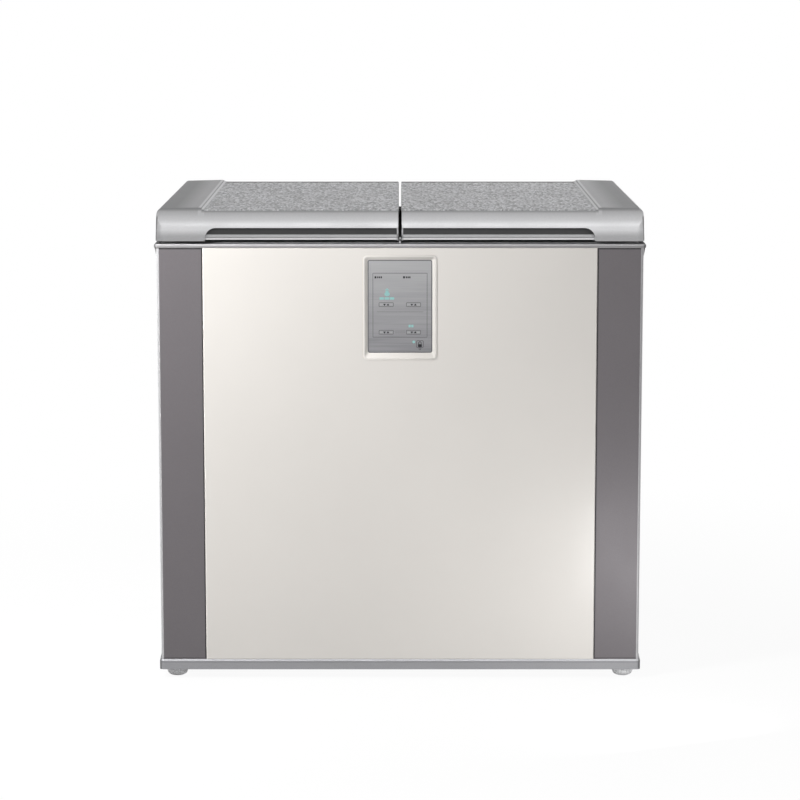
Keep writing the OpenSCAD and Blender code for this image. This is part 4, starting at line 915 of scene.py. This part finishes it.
# %% Arrows, pale bars, status marks and the padlock
ARROW_R = 2.7
marks, pale_bars = [], []
for x, below in KEY_PLACES:
    marks.append(disc(x - 3.2, below, ARROW_R, 3, turn=180))
    marks.append(disc(x + 3.4, below + 0.4, ARROW_R, 3))
    pale_bars += [bar(x + side * 9.2, below, 5.6, 2.6, 0.8) for side in (-1, 1)]
for x in (-46.0, 8.2):
    marks.append(bar(x - 0.6, 33.2, 3.6, 4.2, 0.8))
    marks += [bar(x + 3.9 + 3.3 * i, 33.2, 2.4, 3.6, 0.6) for i in range(3)]
padlock = [bar(38.0, 164.2, 7.4, 5.4, 0.8), hollow(disc(38.0, 159.6, 3.0, tall=1.2), LOCK_LINE),
           hollow(disc(38.0, 170.2, 2.2), 0.7)]
printed("key_marks", marks + padlock, DARK_INK)
printed("key_pale_bars", pale_bars, PALE_INK)

# %% The dark line round the window: painted shade at its sunk edge
EDGE_MARGIN, EDGE_LINE = 0.3, 1.5
edge_w = (window_high.x - window_low.x) / MM - 2 * EDGE_MARGIN
edge_h = (window_high.z - window_low.z) / MM - 2 * EDGE_MARGIN
edge_shade_line = hollow(bar(0, edge_h / 2 + EDGE_MARGIN, edge_w, edge_h, 3.2), EDGE_LINE)
printed("window_edge_shade_line", [edge_shade_line], WINDOW_EDGE_SHADE_INK)

# %% [markdown]
# ## Lit symbols
#
# Light-emitting segments shine through the tint in a pale blue-green: a storage jar over a row of
# level blocks for the left well, two small blocks for the right one, and a dot that says the lock
# is on. A lit segment needs only a little emission, because the tint holds most of it back.

# %% Segments
def glowing(name, colour, strength):
    """A segment lit from behind, a little uneven."""
    lamp = Finish(name, Roughness=0.5, Base_Color=colour, Emission_Strength=strength)
    lamp.tones(colour, lamp.noise(2 * MM, 2), 0.10)
    lamp.paint("Emission Color", lamp.blend(lamp.noise(3 * MM, 2), shade(colour, 0.8), colour))
    return lamp.material


SEGMENT_LIGHT = glowing("lit_segment", (0.25, 0.47, 0.46), 0.10)
jar = [disc(-24.6, 65.2, 5.2, tall=0.8), bar(-24.6, 60.2, 6.0, 2.4, 0.8),
       bar(-24.6, 57.2, 7.6, 1.6, 0.7), disc(-24.6, 55.4, 1.2)]
level_blocks = [bar(-34.6 + 9.7 * i, 73.6, 8.6, 4.6, 0.8) for i in range(3)]
small_blocks = [bar(18.4 + 5.2 * i, 126.5, 4.2, 4.8, 0.7) for i in range(2)]
lock_dot = disc(26.2, 157.0, 2.6)
printed("lit_segments", jar + level_blocks + small_blocks + [lock_dot],
        SEGMENT_LIGHT)

# %% [markdown]
# ## Screws with a cross recess
#
# The rear cover and panel are held by pan-head screws. The CAD model has a plain disc for each
# head, which is right in size and place but not in looks. One head is modelled here and copied to
# every disc, whose place is read from the CAD piece itself: each loose part of its mesh is a screw.

# %% Find the screws
def loose_parts(node):
    """Lowest and highest corner of each separate part of a CAD node."""
    whole = bmesh.new()
    whole.from_mesh(frame["nodes"][node].data)
    bmesh.ops.remove_doubles(whole, verts=whole.verts, dist=0.001 * MM)
    waiting, parts = set(whole.verts), []
    while waiting:
        front, part = [waiting.pop()], []
        while front:
            vert = front.pop()
            part.append(vert.co.copy())
            near = {edge.other_vert(vert) for edge in vert.link_edges} & waiting
            waiting -= near
            front += near
        parts.append([Vector(limit(co[axis] for co in part) for axis in range(3))
                      for limit in (min, max)])
    whole.free()
    return sorted(parts, key=lambda corners: tuple(round(v, 5) for v in corners[0]))


screw_corners = loose_parts("rear_screws")
print(len(screw_corners), "screws in the rear")

# %% Model one head and copy it
RECESS_W, RECESS_L, RECESS_DEPTH = 0.9, 3.6, 0.9


def screw_head(radius, height):
    """A pan head with a cross recess, its back at the origin and its face towards +Y."""
    bpy.ops.mesh.primitive_cylinder_add(vertices=32, radius=radius, depth=height,
                                        location=(0, height / 2, 0), rotation=UPRIGHT)
    head = settled("screw_head")
    bpy.ops.object.mode_set(mode="EDIT")
    bpy.ops.mesh.select_all(action="DESELECT")
    bpy.ops.object.mode_set(mode="OBJECT")
    for edge in head.data.edges:
        edge.select = all(head.data.vertices[v].co.y > height * 0.9 for v in edge.vertices)
    bpy.ops.object.mode_set(mode="EDIT")
    bpy.ops.mesh.bevel(offset=height * 0.6, segments=4, affect="EDGES")
    bpy.ops.object.mode_set(mode="OBJECT")
    for size in ((RECESS_L, RECESS_W), (RECESS_W, RECESS_L)):
        bpy.ops.mesh.primitive_cube_add(size=1, location=(0, height, 0))
        cutter = bpy.context.object
        cutter.scale = (size[0] * MM, 2 * RECESS_DEPTH * MM, size[1] * MM)
        cutter = settled("cutter")
        select_only(head)
        bpy.ops.object.modifier_add(type="BOOLEAN")
        cut = head.modifiers[-1]
        cut.object = cutter
        cut.operation = "DIFFERENCE"
        bpy.ops.object.modifier_apply(modifier=cut.name)
        bpy.data.objects.remove(cutter)
    select_only(head)
    bpy.ops.object.shade_smooth_by_angle(angle=SMOOTH_ANGLE)
    return head


def copied_to(original, places, name):
    """One piece made of copies of the original, each with a mesh of its own."""
    copies = []
    for place in places:
        twin = original.copy()
        twin.data = original.data.copy()
        twin.location = place
        bpy.context.collection.objects.link(twin)
        copies.append(twin)
    bpy.data.objects.remove(original)
    select_only(*copies)
    bpy.ops.object.join()
    return settled(name)


low, high = screw_corners[0]
head = screw_head((high.x - low.x) / 2, high.y - low.y)
places = [Vector(((a.x + b.x) / 2, a.y, (a.z + b.z) / 2)) for a, b in screw_corners]
screws = copied_to(head, places, "cross_recess_screws")
screws.data.materials.clear()
screws.data.materials.append(finishes["screw_steel"])
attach(screws, "cabinet")
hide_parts("rear_screws")
print(len(screws.data.polygons), "faces in the screws")

# %% [markdown]
# ## The dark blade in the slit
#
# A soft black blade stands on the cabinet's centre rib in the slit between the lids: a dark piece
# of painted shade that keeps the slit black. It is a plain long block, so one cube is enough.
# Daylight reaches its front end and not its far end, so painted light makes its rubber paler
# towards the front.

# %% The dark blade in the slit
BLADE_HALF_WIDTH, BLADE_TOP = 2.4 * MM, 855.8 * MM
BLADE_FRONT, BLADE_BACK = -352 * MM, 352 * MM
BLADE_EDGE = 0.5 * MM
LIGHT_FADE_END = 0.24   # the depth at which the painted light on the blade has faded out, in metres
# the blade's black is painted shade and its grey is painted light
SLIT_SHADE_BLACK, PAINTED_LIGHT_GREY, SOOT = (0.002, 0.002, 0.002), (0.62, 0.62, 0.63), (0.02, 0.02, 0.02)


def blade_rubber():
    """Black rubber of painted shade, with painted light greying it towards the front."""
    skin = Finish("slit_shade_blade_rubber", Roughness=0.9, Specular_IOR_Level=0.0)
    # painted light, paler towards the front of the slit
    dust_and_painted_light = skin.spread(skin.along("Y"), BLADE_FRONT, LIGHT_FADE_END, 1.0, 0.0)
    grey = skin.blend(dust_and_painted_light, SLIT_SHADE_BLACK, PAINTED_LIGHT_GREY)
    skin.paint("Base Color", skin.blend(skin.noise(0.004, 3) * 0.2, grey, SOOT))
    skin.relief(skin.noise(0.001, 2), 0.00003)
    return skin.material


blade_low = Vector((-BLADE_HALF_WIDTH, BLADE_FRONT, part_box("mouth_frame")[1].z))
blade_high = Vector((BLADE_HALF_WIDTH, BLADE_BACK, BLADE_TOP))
bpy.ops.mesh.primitive_cube_add(size=1, location=(blade_low + blade_high) / 2)
bpy.context.object.scale = blade_high - blade_low
blade = settled("slit_shade_blade")
bpy.ops.object.modifier_add(type="BEVEL")
rounding = blade.modifiers[-1]
rounding.width = BLADE_EDGE
rounding.segments = 3
bpy.ops.object.modifier_apply(modifier=rounding.name)
bpy.ops.object.shade_smooth_by_angle(angle=SMOOTH_ANGLE)
blade.data.materials.append(blade_rubber())
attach(blade, "cabinet")
print("blade from", [round(v, 4) for v in blade_low], "to", [round(v, 4) for v in blade_high])
